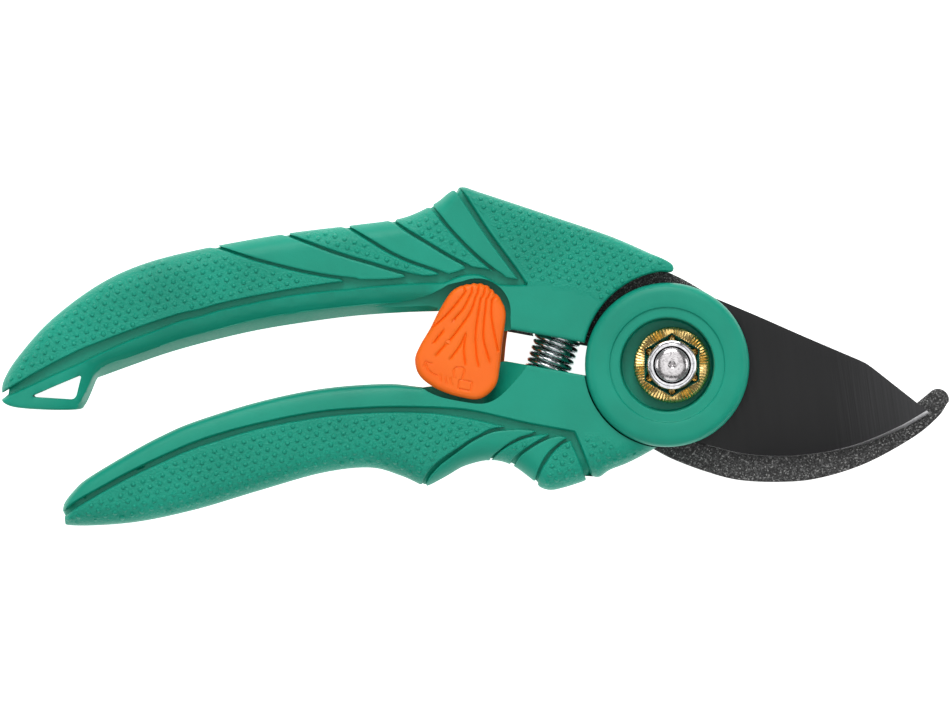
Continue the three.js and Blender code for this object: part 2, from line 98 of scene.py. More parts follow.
def even_outline(points, spacing=0.5):
    """A closed outline with its points an even spacing apart, its first point not repeated."""
    return even(closed(points), spacing)[:-1]


def level(z):
    """A flat face: the same height over every point."""
    return lambda xy: np.full(len(xy), float(z))


def arc(x, y, radius, first, last, spacing=0.5):
    """Points round a centre from one angle to another, in degrees."""
    count = max(3, round(abs(math.radians(last - first)) * radius / spacing) + 1)
    a = np.radians(np.linspace(first, last, count))
    return np.c_[x + radius * np.cos(a), y + radius * np.sin(a)]


def beside(line, distance):
    """The line moved sideways along its normals by one distance or one for each point; a positive
    distance is to the left."""
    line = np.asarray(line, float)
    along = np.gradient(line, axis=0)
    along /= np.hypot(*along.T)[:, None]
    return line + np.reshape(distance, (-1, 1)) * np.c_[-along[:, 1], along[:, 0]]


def gap(xy, line):
    """Distance of each point from the nearest segment of a line."""
    a, step = line[:-1], np.diff(line, axis=0)
    square = np.maximum((step**2).sum(1), 1e-12)
    found = []
    for some in np.array_split(xy, len(xy) // 3000 + 1):
        away = some[:, None] - a
        share = np.clip((away * step).sum(2) / square, 0, 1)
        found.append(np.sqrt(((away - share[..., None] * step) ** 2).sum(2).min(1)))
    return np.concatenate(found)


def inside(xy, area):
    """Whether each point lies in a closed area: a ray towards +X crosses its edge an odd number
    of times."""
    a, b = area, np.roll(area, -1, axis=0)
    rise = np.where(b[:, 1] == a[:, 1], 1e-12, b[:, 1] - a[:, 1])
    found = []
    for some in np.array_split(xy, len(xy) // 3000 + 1):
        x, y = some[:, :1], some[:, 1:]
        spans = (a[:, 1] > y) != (b[:, 1] > y)
        ahead = x < a[:, 0] + (y - a[:, 1]) * (b[:, 0] - a[:, 0]) / rise
        found.append((spans & ahead).sum(1) % 2 == 1)
    return np.concatenate(found)


def smooth(value, low, high):
    """0 below low, 1 above high, and an S-shaped rise between them."""
    t = np.clip((value - low) / (high - low), 0, 1)
    return t * t * (3 - 2 * t)


def shoulder(distance, radius, drop):
    """How far a rounded edge falls below the face: a quarter ellipse, radius wide and drop high."""
    t = 1 - np.clip(distance / radius, 0, 1)
    return drop * (1 - np.sqrt(1 - t * t))


def moulding(outline, front, back=None, lines=(), pitch=1.2, insets=(0.12, 0.3, 0.6, 1.1, 1.8, 2.8, 4.0)):
    """A closed form: front(xy) and back(xy) give the z of its two faces over a closed outline.

    Both faces share one Delaunay net of the outline, rows parallel to it, rows beside the feature
    lines and a staggered grid between them. A straight wall joins them along the outline.
    """
    edge = np.asarray(outline, float)
    ring = closed(edge)
    tangent = np.roll(edge, -1, axis=0) - np.roll(edge, 1, axis=0)
    tangent /= np.maximum(np.hypot(*tangent.T), 1e-9)[:, None]
    area = (edge[:, 0] * np.roll(edge[:, 1], -1) - np.roll(edge[:, 0], -1) * edge[:, 1]).sum()
    inward = np.c_[-tangent[:, 1], tangent[:, 0]] * np.sign(area)
    rows = []
    for inset in insets:
        row = edge + inset * inward
        rows.append(row[inside(row, edge) & (gap(row, ring) > 0.96 * inset)])
    for line, offsets in lines:
        for offset in offsets:
            row = beside(line, offset)
            rows.append(row[inside(row, edge) & (gap(row, ring) > insets[0])])
    low, high = edge.min(0), edge.max(0)
    columns = np.arange(low[0], high[0], pitch)
    levels = np.arange(low[1], high[1], pitch * math.sqrt(3) / 2)
    grid = np.stack(np.meshgrid(columns, levels), 2)
    grid[1::2, :, 0] += pitch / 2
    grid = grid.reshape(-1, 2)
    grid = grid[inside(grid, edge)]
    grid = grid[gap(grid, ring) > insets[-1] + 0.45 * pitch]
    for line, offsets in lines:
        grid = grid[gap(grid, line) > max(np.abs(offsets)) + 0.35 * pitch]
    points = np.vstack([edge, *rows, grid])
    count = len(edge)
    loop = np.c_[np.arange(count), np.roll(np.arange(count), -1)]
    found = delaunay_2d_cdt(list(map(Vector, points.tolist())), loop.tolist(), [], 1, 1e-5, False)
    xy = np.array([tuple(v) for v in found[0]])
    triangles = np.array(found[2])
    triangles = triangles[inside(xy[triangles].mean(1), edge)]
    a, b, c = xy[triangles[:, 0]], xy[triangles[:, 1]], xy[triangles[:, 2]]
    twice = (b[:, 0] - a[:, 0]) * (c[:, 1] - a[:, 1]) - (c[:, 0] - a[:, 0]) * (b[:, 1] - a[:, 1])
    triangles[twice < 0] = triangles[twice < 0][:, ::-1]
    total = len(xy)
    top = np.c_[xy, front(xy)]
    bottom = np.c_[xy, (2 * MIDDLE - front(xy)) if back is None else back(xy)]
    edges = np.vstack([triangles[:, [0, 1]], triangles[:, [1, 2]], triangles[:, [2, 0]]])
    key = np.sort(edges, axis=1) @ [total, 1]
    _, where, times = np.unique(key, return_index=True, return_counts=True)
    p, q = edges[where[times == 1]].T
    wall = np.c_[p, p + total, q + total, q]
    faces = [*triangles.tolist(), *(triangles[:, ::-1] + total).tolist(), *wall.tolist()]
    return np.vstack([top, bottom]), faces


def build(name, shell, material=None, sharp=38):
    """A mesh object from a shell in millimetres, creased where it turns more than sharp degrees."""
    points, faces = shell
    mesh = bpy.data.meshes.new(name)
    mesh.from_pydata((np.asarray(points) * MILLIMETRE).tolist(), [], faces)
    piece = bpy.data.objects.new(name, mesh)
    bpy.context.scene.collection.objects.link(piece)
    finish_shading(piece, sharp)
    if material is not None:
        mesh.materials.append(material)
    return piece


def finish_shading(piece, sharp):
    """Smooth faces, with a crease wherever two of them meet at more than sharp degrees."""
    mesh = piece.data
    mesh.polygons.foreach_set("use_smooth", np.ones(len(mesh.polygons), bool))
    mesh.set_sharp_from_angle(angle=math.radians(sharp))
    mesh.update()


def flat_plate(outline, z0, z1):
    """A plate with straight walls: the outline at two heights and a wall between them."""
    return moulding(outline, level(z1), level(z0), pitch=50, insets=(0.05,))


def bar(x, y, radius, z0, z1, around=48):
    """A round bar along Z: two rings of points, and a face at each end."""
    a = np.linspace(0, 2 * math.pi, around, endpoint=False)
    ring = np.c_[x + radius * np.cos(a), y + radius * np.sin(a)]
    points = np.vstack([np.c_[ring, np.full(around, z0)], np.c_[ring, np.full(around, z1)]])
    i = np.arange(around)
    j = np.roll(i, -1)
    wall = np.c_[i, j, j + around, i + around].tolist()
    return points, [*wall, i[::-1].tolist(), (i + around).tolist()]


def cut_away(piece, *shells, sharp=38):
    """Takes closed shells out of a piece, one after another, with exact Boolean cuts."""
    cutters = []
    for shell in shells:
        cutter = build("cutter", shell)
        cutters.append(cutter)
        change = piece.modifiers.new("cut", "BOOLEAN")
        change.operation = "DIFFERENCE"
        change.solver = "MANIFOLD"
        change.object = cutter
    bpy.context.view_layer.update()
    seen = piece.evaluated_get(bpy.context.evaluated_depsgraph_get())
    result = bpy.data.meshes.new_from_object(seen)
    piece.modifiers.clear()
    result.name = piece.data.name
    piece.data = result
    for cutter in cutters:
        bpy.data.objects.remove(cutter)
    finish_shading(piece, sharp)


UPPER_BACK = curve([
    [-152, -6.4], [-151.3, -3.2], [-148.2, 1.8], [-140.9, 10], [-130.1, 18.1], [-119.2, 23.1],
    [-104.7, 26.7], [-86.6, 29.9], [-72.1, 31.7], [-61.2, 33.3], [-53.9, 36.5], [-50.3, 39.2],
    [-47.4, 40.3], [-43.1, 39], [-28.6, 34.2], [-14, 29.2], [-4, 24.9],
])
NOSE = curve([[-3.6, 24.75], [-1.5, 23.8], [-0.1, 22.9], [0.4, 21.9], [0, 21.1], [-1.4, 21.05]], 0.25)
HUB_HOLLOW = arc(0.45, 0.7, 20.67, 98, 168)
UPPER_FRONT = curve([
    [-52.6, 12.2], [-61.2, 11.9], [-72.1, 11.1], [-82.9, 9.7], [-93.8, 7.9], [-104.7, 5.4],
    [-115.6, 2.3], [-130.2, -2.9],
])
UNDER_CATCH = even([[-19.8, 5], [-36.3, 8], [-39, 7.4], [-44.2, 7.2], [-49.5, 9.2], [-52.3, 12]])
LOOP_FOOT = curve([[-130.4, -3.1], [-132, -7], [-133.2, -9.2], [-134.6, -10.1], [-141, -10.2],
                   [-148.2, -9.7], [-151.2, -8.7], [-152, -7.4]])
LOOP_HOLE = even([
    [-144.8, -6.9], [-139.5, -4.6], [-134.2, -2.4], [-133.8, -2.7], [-134.9, -7], [-135.4, -7.6],
    [-136.2, -7.8], [-144.5, -7.3], [-144.8, -6.9],
], 0.4)[:-1]
# the hard rim's shoulder along the main groove, then up beside the last leaf of the grip
UPPER_SHOULDER = curve([
    [-156, -9.5], [-151.6, -7.5], [-147.7, -5.7], [-140.9, -2.5], [-134.1, 0.5], [-129.6, 2.7],
    [-122.8, 5.7], [-118.3, 7.4], [-111.5, 10], [-107, 11.1], [-102.4, 12.5], [-95.6, 14],
    [-88.8, 15.4], [-84.3, 16.1], [-77.5, 16.9], [-73, 17.3], [-66.2, 18], [-57.1, 18.6],
    [-52, 18.7], [-50.3, 19.3], [-48, 20.2], [-45.8, 20.6], [-43.5, 20.5], [-41.2, 19.5],
    [-39.5, 18.5], [-37.5, 18.2], [-33, 18.2],
])
UPPER_LAST_GROOVE = curve([
    [-33, 18.2], [-35.9, 22.4], [-38.8, 26.3], [-41.9, 30.6], [-45.6, 36.3], [-49, 41.8],
])
UPPER_CREASE = curve([
    [-135.5, -10.6], [-132.9, -6], [-129.6, -0.7], [-122.8, 2], [-118.3, 3.6], [-111.5, 5.9],
    [-104.7, 7.7], [-95.6, 10.1], [-86.6, 11.8], [-77.5, 12.9], [-66.2, 14.05], [-57.1, 14.5],
    [-54.8, 14.6], [-52.9, 13.6],
])
DOT_ROOM = 0.3  # how far the faces lie inside the handles' full thickness, which the dots reach
GROOVE_DEPTH = 2.0
RIM_FALL = 2.6  # from the shoulder to the crease
CREASE_HEIGHT = HALF - RIM_FALL
PART_LINE = 0.5  # half the wall left where the two drafted sides meet
SHOULDER_ROUND = 0.55  # radius of the rim's edge along the groove

upper_core_outline = np.vstack([
    beside(UPPER_BACK[UPPER_BACK[:, 0] < -50.2], -1.7),
    UPPER_BACK[(UPPER_BACK[:, 0] > -48.7) & (UPPER_BACK[:, 0] < -4)],
    NOSE[1:-1],
    HUB_HOLLOW,
    UNDER_CATCH[1:-1],
    UPPER_FRONT,
    LOOP_FOOT[1:-1],
])
upper_rim_area = np.vstack([UPPER_SHOULDER, UPPER_LAST_GROOVE[1:], [[20, 45], [20, -20], [-170, -20]]])
upper_edge = np.vstack([NOSE, HUB_HOLLOW, UNDER_CATCH])


def upper_crown(xy):
    """Half thickness of the upper handle: full in the middle, rounded over towards the palm."""
    away = gap(xy, UPPER_BACK)
    front_end = smooth(xy[:, 0], -55, -45)
    radius = 4.2 - 2.4 * front_end
    fall = shoulder(away / radius, 1, 1) * (4.4 - 1.6 * front_end)
    return HALF - DOT_ROOM - fall - (0.5 - 0.35 * front_end) * (1 - np.clip(away / 12, 0, 1)) ** 2


def rim_and_groove(xy, rim_area, rim, crown, to_shoulder):
    """Front face of a core: the rim's height within its area, rounded down by a quarter ellipse
    along its shoulder, and the groove's floor elsewhere."""
    floor = crown - GROOVE_DEPTH
    rise = np.sqrt(1 - (1 - np.clip(to_shoulder / SHOULDER_ROUND, 0, 1)) ** 2)
    rounded = floor + (rim - floor) * rise
    height = np.where(inside(xy, rim_area), np.minimum(rounded, rim), floor)
    return MIDDLE + np.maximum(height, PART_LINE)


def upper_core_front(xy):
    """Front face of the core: groove floor under the grip, rounded shoulder, a rim that falls to the
    crease as the square of the way across, then the drafted wall down to the parting line."""
    crown = upper_crown(xy)
    to_shoulder = np.minimum(gap(xy, UPPER_SHOULDER), gap(xy, UPPER_LAST_GROOVE))
    to_crease = gap(xy, UPPER_CREASE)
    to_wall = np.minimum(gap(xy, UPPER_FRONT), gap(xy, LOOP_FOOT[:12]))
    across = to_shoulder / (to_shoulder + to_crease + 1e-6)
    drafted = inside(xy, np.vstack([UPPER_CREASE, [[-52.6, 5], [-52, -30], [-136, -30]]]))
    down = to_crease / (to_crease + to_wall + 1e-6)
    fade = 1 - smooth(xy[:, 0], -57, -50)
    rim = crown - fade * RIM_FALL * across**2
    foot = PART_LINE + 2.6 * smooth(xy[:, 0], -70, -62)
    wall = CREASE_HEIGHT + (foot - CREASE_HEIGHT) * down**1.15
    top = np.where(drafted & (xy[:, 0] < -52), np.minimum(wall, rim), rim)
    top = top - shoulder(gap(xy, upper_edge), 0.7, 0.7) - shoulder(gap(xy, LOOP_FOOT[10:]), 0.6, 0.7)
    top = top - shoulder(gap(xy, closed(LOOP_HOLE)), 0.5, 0.6)
    return rim_and_groove(xy, upper_rim_area, top, crown, to_shoulder)


def linear(hexadecimal):
    """An sRGB hex colour as linear RGBA."""
    c = np.array([int(hexadecimal[i:i + 2], 16) for i in (1, 3, 5)]) / 255
    return (*np.where(c > 0.04045, ((c + 0.055) / 1.055) ** 2.4, c / 12.92), 1.0)


def feed(node, links):
    """Links outputs to a node's inputs, by the inputs' names or numbers."""
    for name, source in links.items():
        node.id_data.links.new(source, node.inputs[name])


def add(material, kind, settings=None, links=None, stops=()):
    """Adds a node: settings are properties or, by input name or number, values; links feed its
    inputs; stops are a colour ramp's (position, hex colour) pairs."""
    node = material.node_tree.nodes.new(kind)
    for name, value in (settings or {}).items():
        if isinstance(name, str) and hasattr(node, name):
            setattr(node, name, value)
        else:
            node.inputs[name].default_value = value
    feed(node, links or {})
    for _ in stops[2:]:
        node.color_ramp.elements.new(0.5)
    for i, (position, colour) in enumerate(stops):
        node.color_ramp.elements[i].position = position
        node.color_ramp.elements[i].color = linear(colour)
    return node


def shader(name, settings):
    """A material whose only surface is one Principled shader. Returns the two."""
    material = bpy.data.materials.new(name)
    material.use_nodes = True
    material.node_tree.nodes.clear()
    surface = add(material, "ShaderNodeBsdfPrincipled", settings)
    add(material, "ShaderNodeOutputMaterial", links={"Surface": surface.outputs["BSDF"]})
    return material, surface


def moulded_plastic(name, dark, body, light, roughness, grain_mm, grain_depth):
    """Moulded plastic: colour that drifts slowly, and the fine pebble of a spark-eroded mould."""
    material, surface = shader(name, {"IOR": 1.46, "Specular IOR Level": 0.35})
    place = add(material, "ShaderNodeTexCoord").outputs["Object"]
    drift = add(material, "ShaderNodeTexNoise", {"Scale": 1 / 0.018, "Detail": 3.0}, {"Vector": place})
    colour = add(material, "ShaderNodeValToRGB", None, {"Fac": drift.outputs["Fac"]},
                 [(0.3, dark), (0.5, body), (0.72, light)])
    grain = add(material, "ShaderNodeTexNoise", {
        "Scale": 1 / (grain_mm * MILLIMETRE), "Detail": 2.0, "Roughness": 0.6,
    }, {"Vector": place})
    gloss = add(material, "ShaderNodeMapRange", {
        "From Min": 0.3, "From Max": 0.7, "To Min": roughness - 0.05, "To Max": roughness + 0.07,
    }, {"Value": grain.outputs["Fac"]})
    bump = add(material, "ShaderNodeBump", {"Strength": 0.6, "Distance": grain_depth * MILLIMETRE},
               {"Height": grain.outputs["Fac"]})
    pebble = add(material, "ShaderNodeAttribute", {"attribute_name": "pebble"})
    # the pebble between the dots is about 0.3 mm; it is drawn at 0.55 mm so that it shows
    coarse = add(material, "ShaderNodeTexNoise", {"Scale": 1 / (0.55 * MILLIMETRE), "Detail": 1.0},
                 {"Vector": place})
    height = add(material, "ShaderNodeMath", {"operation": "MULTIPLY"},
                 {0: coarse.outputs["Fac"], 1: pebble.outputs["Fac"]})
    stipple = add(material, "ShaderNodeBump", {"Strength": 1.0, "Distance": 0.2 * MILLIMETRE},
                  {"Height": height.outputs["Value"], "Normal": bump.outputs["Normal"]})
    feed(surface, {
        "Base Color": colour.outputs["Color"], "Roughness": gloss.outputs["Result"],
        "Normal": stipple.outputs["Normal"],
    })
    return material


# nylon: satin, with a fine mould grain that shows as faint speckle
nylon = moulded_plastic("moulded_nylon_green", "#0a8d75", "#0d947b", "#109b82", 0.42, 0.5, 0.03)

upper_core = build("upper_core_moulding", moulding(
    upper_core_outline, upper_core_front,
    lines=[
        (UPPER_SHOULDER, (-0.45, -0.15, 0.0, 0.06, 0.16, 0.3, 0.5, 0.9)),
        (UPPER_LAST_GROOVE, (-0.9, -0.5, -0.3, -0.16, -0.06, 0.0, 0.15, 0.45)),
        (UPPER_CREASE, (-0.8, -0.4, -0.15, 0.0, 0.15, 0.4, 0.8)),
    ],
), nylon)

# room for the catch's covers and web, the spring's end and the hook's steel
CATCH = cad_span("catch_pin")[1, :2]
UPPER_POCKET = np.vstack([
    [[-36, 0]], arc(*CATCH, 7.7, -8, 112, 0.6),
    curve([[-50.6, 18.2], [-52.9, 16.9], [-56.3, 15.4], [-61, 14.3], [-67, 13.3], [-70, 11]], 1),
    [[-70, 0]],
])
POCKET_FLOOR = 14
WEB_SLOT = (6.7, 11.3)  # from z to z, round the catch's steel web
upper_web_room = even_outline([[-62, 2], [-38, 2], [-38, 11.9], [-44.2, 12.5], [-50, 16], [-62, 13]], 2)
cut_away(
    upper_core,
    flat_plate(LOOP_HOLE, -5, 25),
    flat_plate(UPPER_POCKET, POCKET_FLOOR, 30),
    flat_plate(UPPER_POCKET, -12, 2 * MIDDLE - POCKET_FLOOR),
    bar(*CATCH, 6.4, *WEB_SLOT),
    flat_plate(upper_web_room, *WEB_SLOT),
)
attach(upper_core, "upper_handle")
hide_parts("upper_core")


# ==== upper handle: soft grip ====
# A thermoplastic rubber skin moulded over the core's tongue: six leaf-shaped pads, dotted and
# smooth by turns, on one web. The grooves between the pads run over the edge and on down the back.

LEAF_TIPS = [[-74.3, 18.8], [-60.3, 19.9], [-52.6, 20.4], [-46.7, 21.9], [-40.3, 21.1], [-34.7, 19.4]]
LEAF_GROOVES = [curve(points) for points in (
    [[-104.6, 27.1], [-102.2, 26.5], [-97.9, 25.1], [-93.4, 23.7], [-88.8, 22.5], [-84.3, 21.4],
     [-79.8, 20.5], [-75.2, 19.8], [-71.5, 19.4]],
    [[-88.2, 30], [-86.6, 29.3], [-82, 27.6], [-77.5, 25.9], [-73, 24.4], [-68.4, 23.1],
     [-63.9, 21.7], [-59.4, 20.5], [-57.4, 20.1]],
    [[-75.4, 32], [-73, 31], [-68.4, 28.3], [-63.9, 25.6], [-59.4, 23.5], [-54.8, 21.9], [-51.4, 20.7]],
    [[-64.4, 33.5], [-62.5, 32.2], [-59.4, 30.1], [-54.8, 27.3], [-50.3, 24.6], [-46.2, 22.4]],
    [[-55.2, 37], [-53.6, 35], [-50.3, 30.9], [-45.8, 26.2], [-41.2, 22.2], [-38.2, 20.1]],
    [[-49.8, 41.8], [-45.8, 36], [-42.1, 30.4], [-39, 26.1], [-36.1, 22.2], [-33.6, 18.7]],
)]
LEAF_FEET = [
    [[-70.9, 19.3], [-66.2, 19.3], [-62.5, 19.5]], [[-56.5, 20.1], [-54.6, 20.1]],
    [[-50.7, 20.5], [-48.6, 21.1]], [[-45.4, 22.1], [-41.8, 21.6]], [[-37.7, 19.8], [-36.2, 19.5]],
]
UPPER_GRIP_EDGE = curve([
    [-151.8, -6.3], [-147.7, -3.9], [-140.9, -0.1], [-134.1, 3.3], [-129.6, 5.1], [-122.8, 7.7],
    [-118.3, 9.3], [-111.5, 11.5], [-107, 12.5], [-102.4, 13.8], [-95.6, 15.3], [-88.8, 16.6],
    [-84.3, 17.4], [-77.5, 18.4], [-74.3, 18.8],
])
# how far each leaf groove reaches to the right and to the left of its line
GROOVE_SIDES = (*[(0.36, 0.22)] * 4, (0.38, 0.24), (0.7, 0.1))
PAD_LIFT = 1.7  # of the pads over the web between them
PAD_SHOULDER = 0.3


def together(*shells):
    """Several closed shells as one list of points and one of faces."""
    points, faces, start = [], [], 0
    for p, f in shells:
        points.append(p)
        faces += [[i + start for i in face] for face in f]
        start += len(p)
    return np.vstack(points), faces


DOT_RADIUS = 0.6
DOT_HEIGHT = 0.36
DOT_STEP_A = np.array([0.63, -1.92])  # from one dot to the next, both ways along the lattice
DOT_STEP_B = np.array([1.59, 1.22])


def dots(front, area, margin, slant, size=None, behind=None):
    """Small buttons on a skewed lattice over an area, on the front and mirrored on the back.

    Each is three rings of eight points and a tip. A point's height is the face under it plus a
    steep-sided curve, one less the fourth power of its distance from the button's middle; its
    outer ring sinks just under the face. A slant of -1 leans the lattice the other way; behind(xy)
    tells which buttons the back has too.
    """
    reach = np.arange(-160, 161)
    i, j = np.meshgrid(reach, reach)
    steps = i.reshape(-1, 1) * DOT_STEP_A + j.reshape(-1, 1) * DOT_STEP_B
    places = steps * [1, slant] + [-70, 10]
    places = places[inside(places, area)]
    places = places[gap(places, closed(area)) > margin]
    scale = np.ones(len(places)) if size is None else size(places)
    places, scale = places[scale > 0.3], scale[scale > 0.3]
    around = 8
    angle = np.linspace(0, 2 * math.pi, around, endpoint=False)
    rho = np.repeat([1, 0.8, 0.5, 0], [around, around, around, 1])
    turn = np.r_[angle, angle, angle, 0]
    offset = np.c_[rho * np.cos(turn), rho * np.sin(turn)] * DOT_RADIUS
    xy = places[:, None] + offset * scale[:, None, None]
    rise = (DOT_HEIGHT * (1 - rho**4) - 0.02 - 0.06 * (rho == 1)) * scale[:, None]
    z = front(xy.reshape(-1, 2)).reshape(rise.shape) + rise
    top = np.dstack([xy, z])
    bottom = top if behind is None else top[behind(places)]
    bottom = bottom * [1, 1, -1] + [0, 0, 2 * MIDDLE]
    bottom[..., 2] = np.maximum(bottom[..., 2], 0)
    k = np.arange(around)
    after = np.roll(k, -1)
    band = np.c_[k, after, after + around, k + around]
    quads = np.vstack([band, band + around])
    tips = np.c_[k + 2 * around, after + 2 * around, np.full(around, 3 * around)]
    shells = []
    for buttons, step in ((top, 1), (bottom, -1)):
        starts = len(rho) * np.arange(len(buttons))[:, None, None]
        faces = []
        for one in (quads, tips, k[None, ::-1]):
            faces += (one[None, :, ::step] + starts).reshape(-1, one.shape[1]).tolist()
        shells.append((buttons.reshape(-1, 3), faces))
    return together(*shells)


def stippled(piece, *areas):
    """Marks with the attribute "pebble" the points of a piece that lie in one of the areas."""
    points = np.empty(3 * len(piece.data.vertices))
    piece.data.vertices.foreach_get("co", points)
    xy = points.reshape(-1, 3)[:, :2] / MILLIMETRE
    marked = np.zeros(len(xy), bool)
    for area in areas:
        marked |= inside(xy, area) & (gap(xy, closed(area)) > 0.2)
    pebble = piece.data.attributes.new("pebble", "FLOAT", "POINT")
    pebble.data.foreach_set("value", marked.astype(np.float32))


def run_of(line, first_x, last_x):
    """The part of a line between two values of X."""
    return line[(line[:, 0] > first_x) & (line[:, 0] < last_x)]


def upper_pads():
    """Outlines of the upper grip's six pads, from the tail to the front."""
    sides = [(beside(g, -right), beside(g, left)) for g, (right, left) in zip(LEAF_GROOVES, GROOVE_SIDES)]
    tops = [[UPPER_BACK[np.argmin(gap(UPPER_BACK, side))] for side in pair] for pair in sides]
    handle = np.vstack([UPPER_BACK, [[0, -60], [-160, -60]]])

    def clip(side):
        """The part of a groove's side that lies on the handle."""
        return side[inside(side, handle) & (gap(side, UPPER_BACK) > 0.25)]

    first = clip(sides[0][0])
    pads = [np.vstack([
        UPPER_GRIP_EDGE, first[first[:, 0] < LEAF_TIPS[0][0] - 0.6][::-1],
        run_of(UPPER_BACK, -151.9, tops[0][0][0])[::-1],
    ])]
    for i in range(len(LEAF_FEET)):
        left, right = clip(sides[i][1]), clip(sides[i + 1][0])
        right = right[right[:, 0] < LEAF_TIPS[i + 1][0] - 0.35]
        foot = np.vstack([LEAF_FEET[i], [LEAF_TIPS[i + 1]]])
        top = run_of(UPPER_BACK, tops[i][1][0], tops[i + 1][0][0])
        pads.append(np.vstack([left[left[:, 0] < foot[0, 0] - 0.2], foot, right[::-1], top[::-1]]))
    return [even_outline(pad) for pad in pads]


def pad_front(crown, own_edge, outer_line):
    """Front face of a pad: the handle's crown, rounded along the pad's own grooves."""
    inner = own_edge[gap(own_edge, outer_line) > 0.3]

    def front(xy):
        return MIDDLE + crown(xy) - shoulder(gap(xy, inner), PAD_SHOULDER, 0.55)
    return front


def pad_shells(pads, crown, outer_line, slants):
    """Closed shells of the pads, with dots on those for whose number a slant is given."""
    shells = []
    for number, outline in enumerate(pads):
        front = pad_front(crown, outline, outer_line)
        shells.append(moulding(outline, front))
        if number in slants:
            shells.append(dots(front, outline, 0.95, slants[number]))
    return shells


def web_front(crown):
    """Front face of the web between the pads, which follows their crown a little lower."""
    return lambda xy: MIDDLE + crown(xy) - PAD_LIFT


upper_web_outline = even_outline(np.vstack([
    beside(run_of(UPPER_BACK, -151, -50.5), -0.45), [[-46.6, 36], [-36.6, 21.6]],
    [[-36.5, 20.4], [-41, 22], [-46, 22.8], [-54, 21.2], [-66, 20.3], [-76, 19.4]],
    beside(UPPER_GRIP_EDGE[4:-8], 0.8)[::-1],
]), 0.6)

# thermoplastic rubber: duller than the nylon, with a coarser pebble between the dots
rubber = moulded_plastic("moulded_rubber_green", "#0a8d75", "#0d947b", "#109b82", 0.46, 0.45, 0.04)
upper_outlines = upper_pads()
upper_grip = build("upper_grip_pads", together(
    moulding(upper_web_outline, web_front(upper_crown)),
    *pad_shells(upper_outlines, upper_crown, UPPER_BACK, {0: -1, 2: 1, 4: 1}),
), rubber)
stippled(upper_grip, *upper_outlines[::2])
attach(upper_grip, "upper_handle")
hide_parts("upper_grip")


# ==== lower handle: hard core ====
# The same nylon, moulded round the blade's tang: a smooth rim, the hollow under the catch, and a
# front end that is cut back for the hub cap in front and for the hook's boss behind.

LOWER_TOP = curve([
    [-138.1, -33], [-137.6, -31.2], [-135.6, -28.6], [-132.4, -25.7], [-122.8, -19.9], [-115.9, -16.2],
    [-108.3, -12.9], [-93.8, -8.4], [-79.3, -5.4], [-64.8, -4.3], [-56.4, -5.1],
])
LOWER_BRIDGE = even([[-56, -5], [-49.5, -4.4], [-47, -2], [-45.4, -1.1], [-37.8, 0.9], [-19.5, -2.4],
                     [-10, -2.4], [-2.4, -17.2], [-2.9, -18.2]])
LOWER_CHIN = curve([
    [-3.1, -18.5], [-6.8, -20.6], [-10.4, -22.4], [-14, -23.8], [-16.4, -25.4], [-18.2, -25.2],
])
LOWER_BELLY = curve([
    [-18.4, -24.9], [-19.3, -26.1], [-26.5, -28.3], [-29.9, -27.7], [-31.4, -26.2], [-36.3, -22.7],
    [-41.2, -21.6], [-46.9, -22.9], [-51, -25.2], [-55.3, -27.4], [-57, -27.1], [-61.2, -25.2],
    [-68.4, -23.3], [-79.3, -24.5], [-93.8, -28.6], [-108.3, -32.9], [-122.8, -35.8], [-137, -36.3],
    [-138.1, -33.6],
], 0.4)
LOWER_SHOULDER = curve([
    [-142, -36.5], [-137.5, -33], [-134.1, -30.6], [-129.6, -28.1], [-125.1, -25.6], [-120.6, -23.3],
    [-116, -21.1], [-111.5, -19.1], [-107, -17.3], [-102.4, -15.8], [-97.9, -14.5], [-91.1, -12.9],
    [-84.3, -11.5], [-77.5, -10.5], [-70.7, -10], [-63.9, -9.7], [-54.8, -9.8], [-48, -10.2],
    [-43.5, -10.9], [-39, -11.9], [-34.4, -13], [-29.9, -13.9], [-25.4, -14.7], [-22.2, -15.3],
])
LOWER_LAST_GROOVE = curve([
    [-22.2, -15.3], [-21.2, -17.6], [-20, -20.6], [-18.7, -23.9], [-17.6, -27.5],
])

lower_core_outline = np.vstack([
    LOWER_TOP, LOWER_BRIDGE[1:-1], LOWER_CHIN[:-1],
    beside(LOWER_BELLY[2:], -1.5)[5:-6],
])
lower_rim_area = np.vstack([LOWER_SHOULDER, LOWER_LAST_GROOVE[1:], [[20, -45], [20, 20], [-160, 20]]])


def lower_crown(xy):
    """Half thickness of the lower handle: full in the middle, rounded over towards the fingers."""
    away = gap(xy, np.vstack([LOWER_CHIN, LOWER_BELLY]))
    return HALF - DOT_ROOM - shoulder(away, 4.6, 4.6) - 0.5 * (1 - np.clip(away / 12, 0, 1)) ** 2


def lower_core_front(xy):
    """Front face of the core: groove floor, rounded shoulder, and a rim that falls to the top edge
    as the cube of the way across."""
    crown = lower_crown(xy)
    to_shoulder = np.minimum(gap(xy, LOWER_SHOULDER), gap(xy, LOWER_LAST_GROOVE))
    to_top = gap(xy, LOWER_TOP)
    across = to_shoulder / (to_shoulder + to_top + 1e-6)
    fade = 1 - smooth(xy[:, 0], -66, -56)
    top = crown - (0.2 + 0.8 * fade) * 1.3 * across**3 - shoulder(to_top, 0.9, 2.4)
    top = top - shoulder(gap(xy, LOWER_BRIDGE), 0.5, 0.4)
    return rim_and_groove(xy, lower_rim_area, top, crown, to_shoulder)


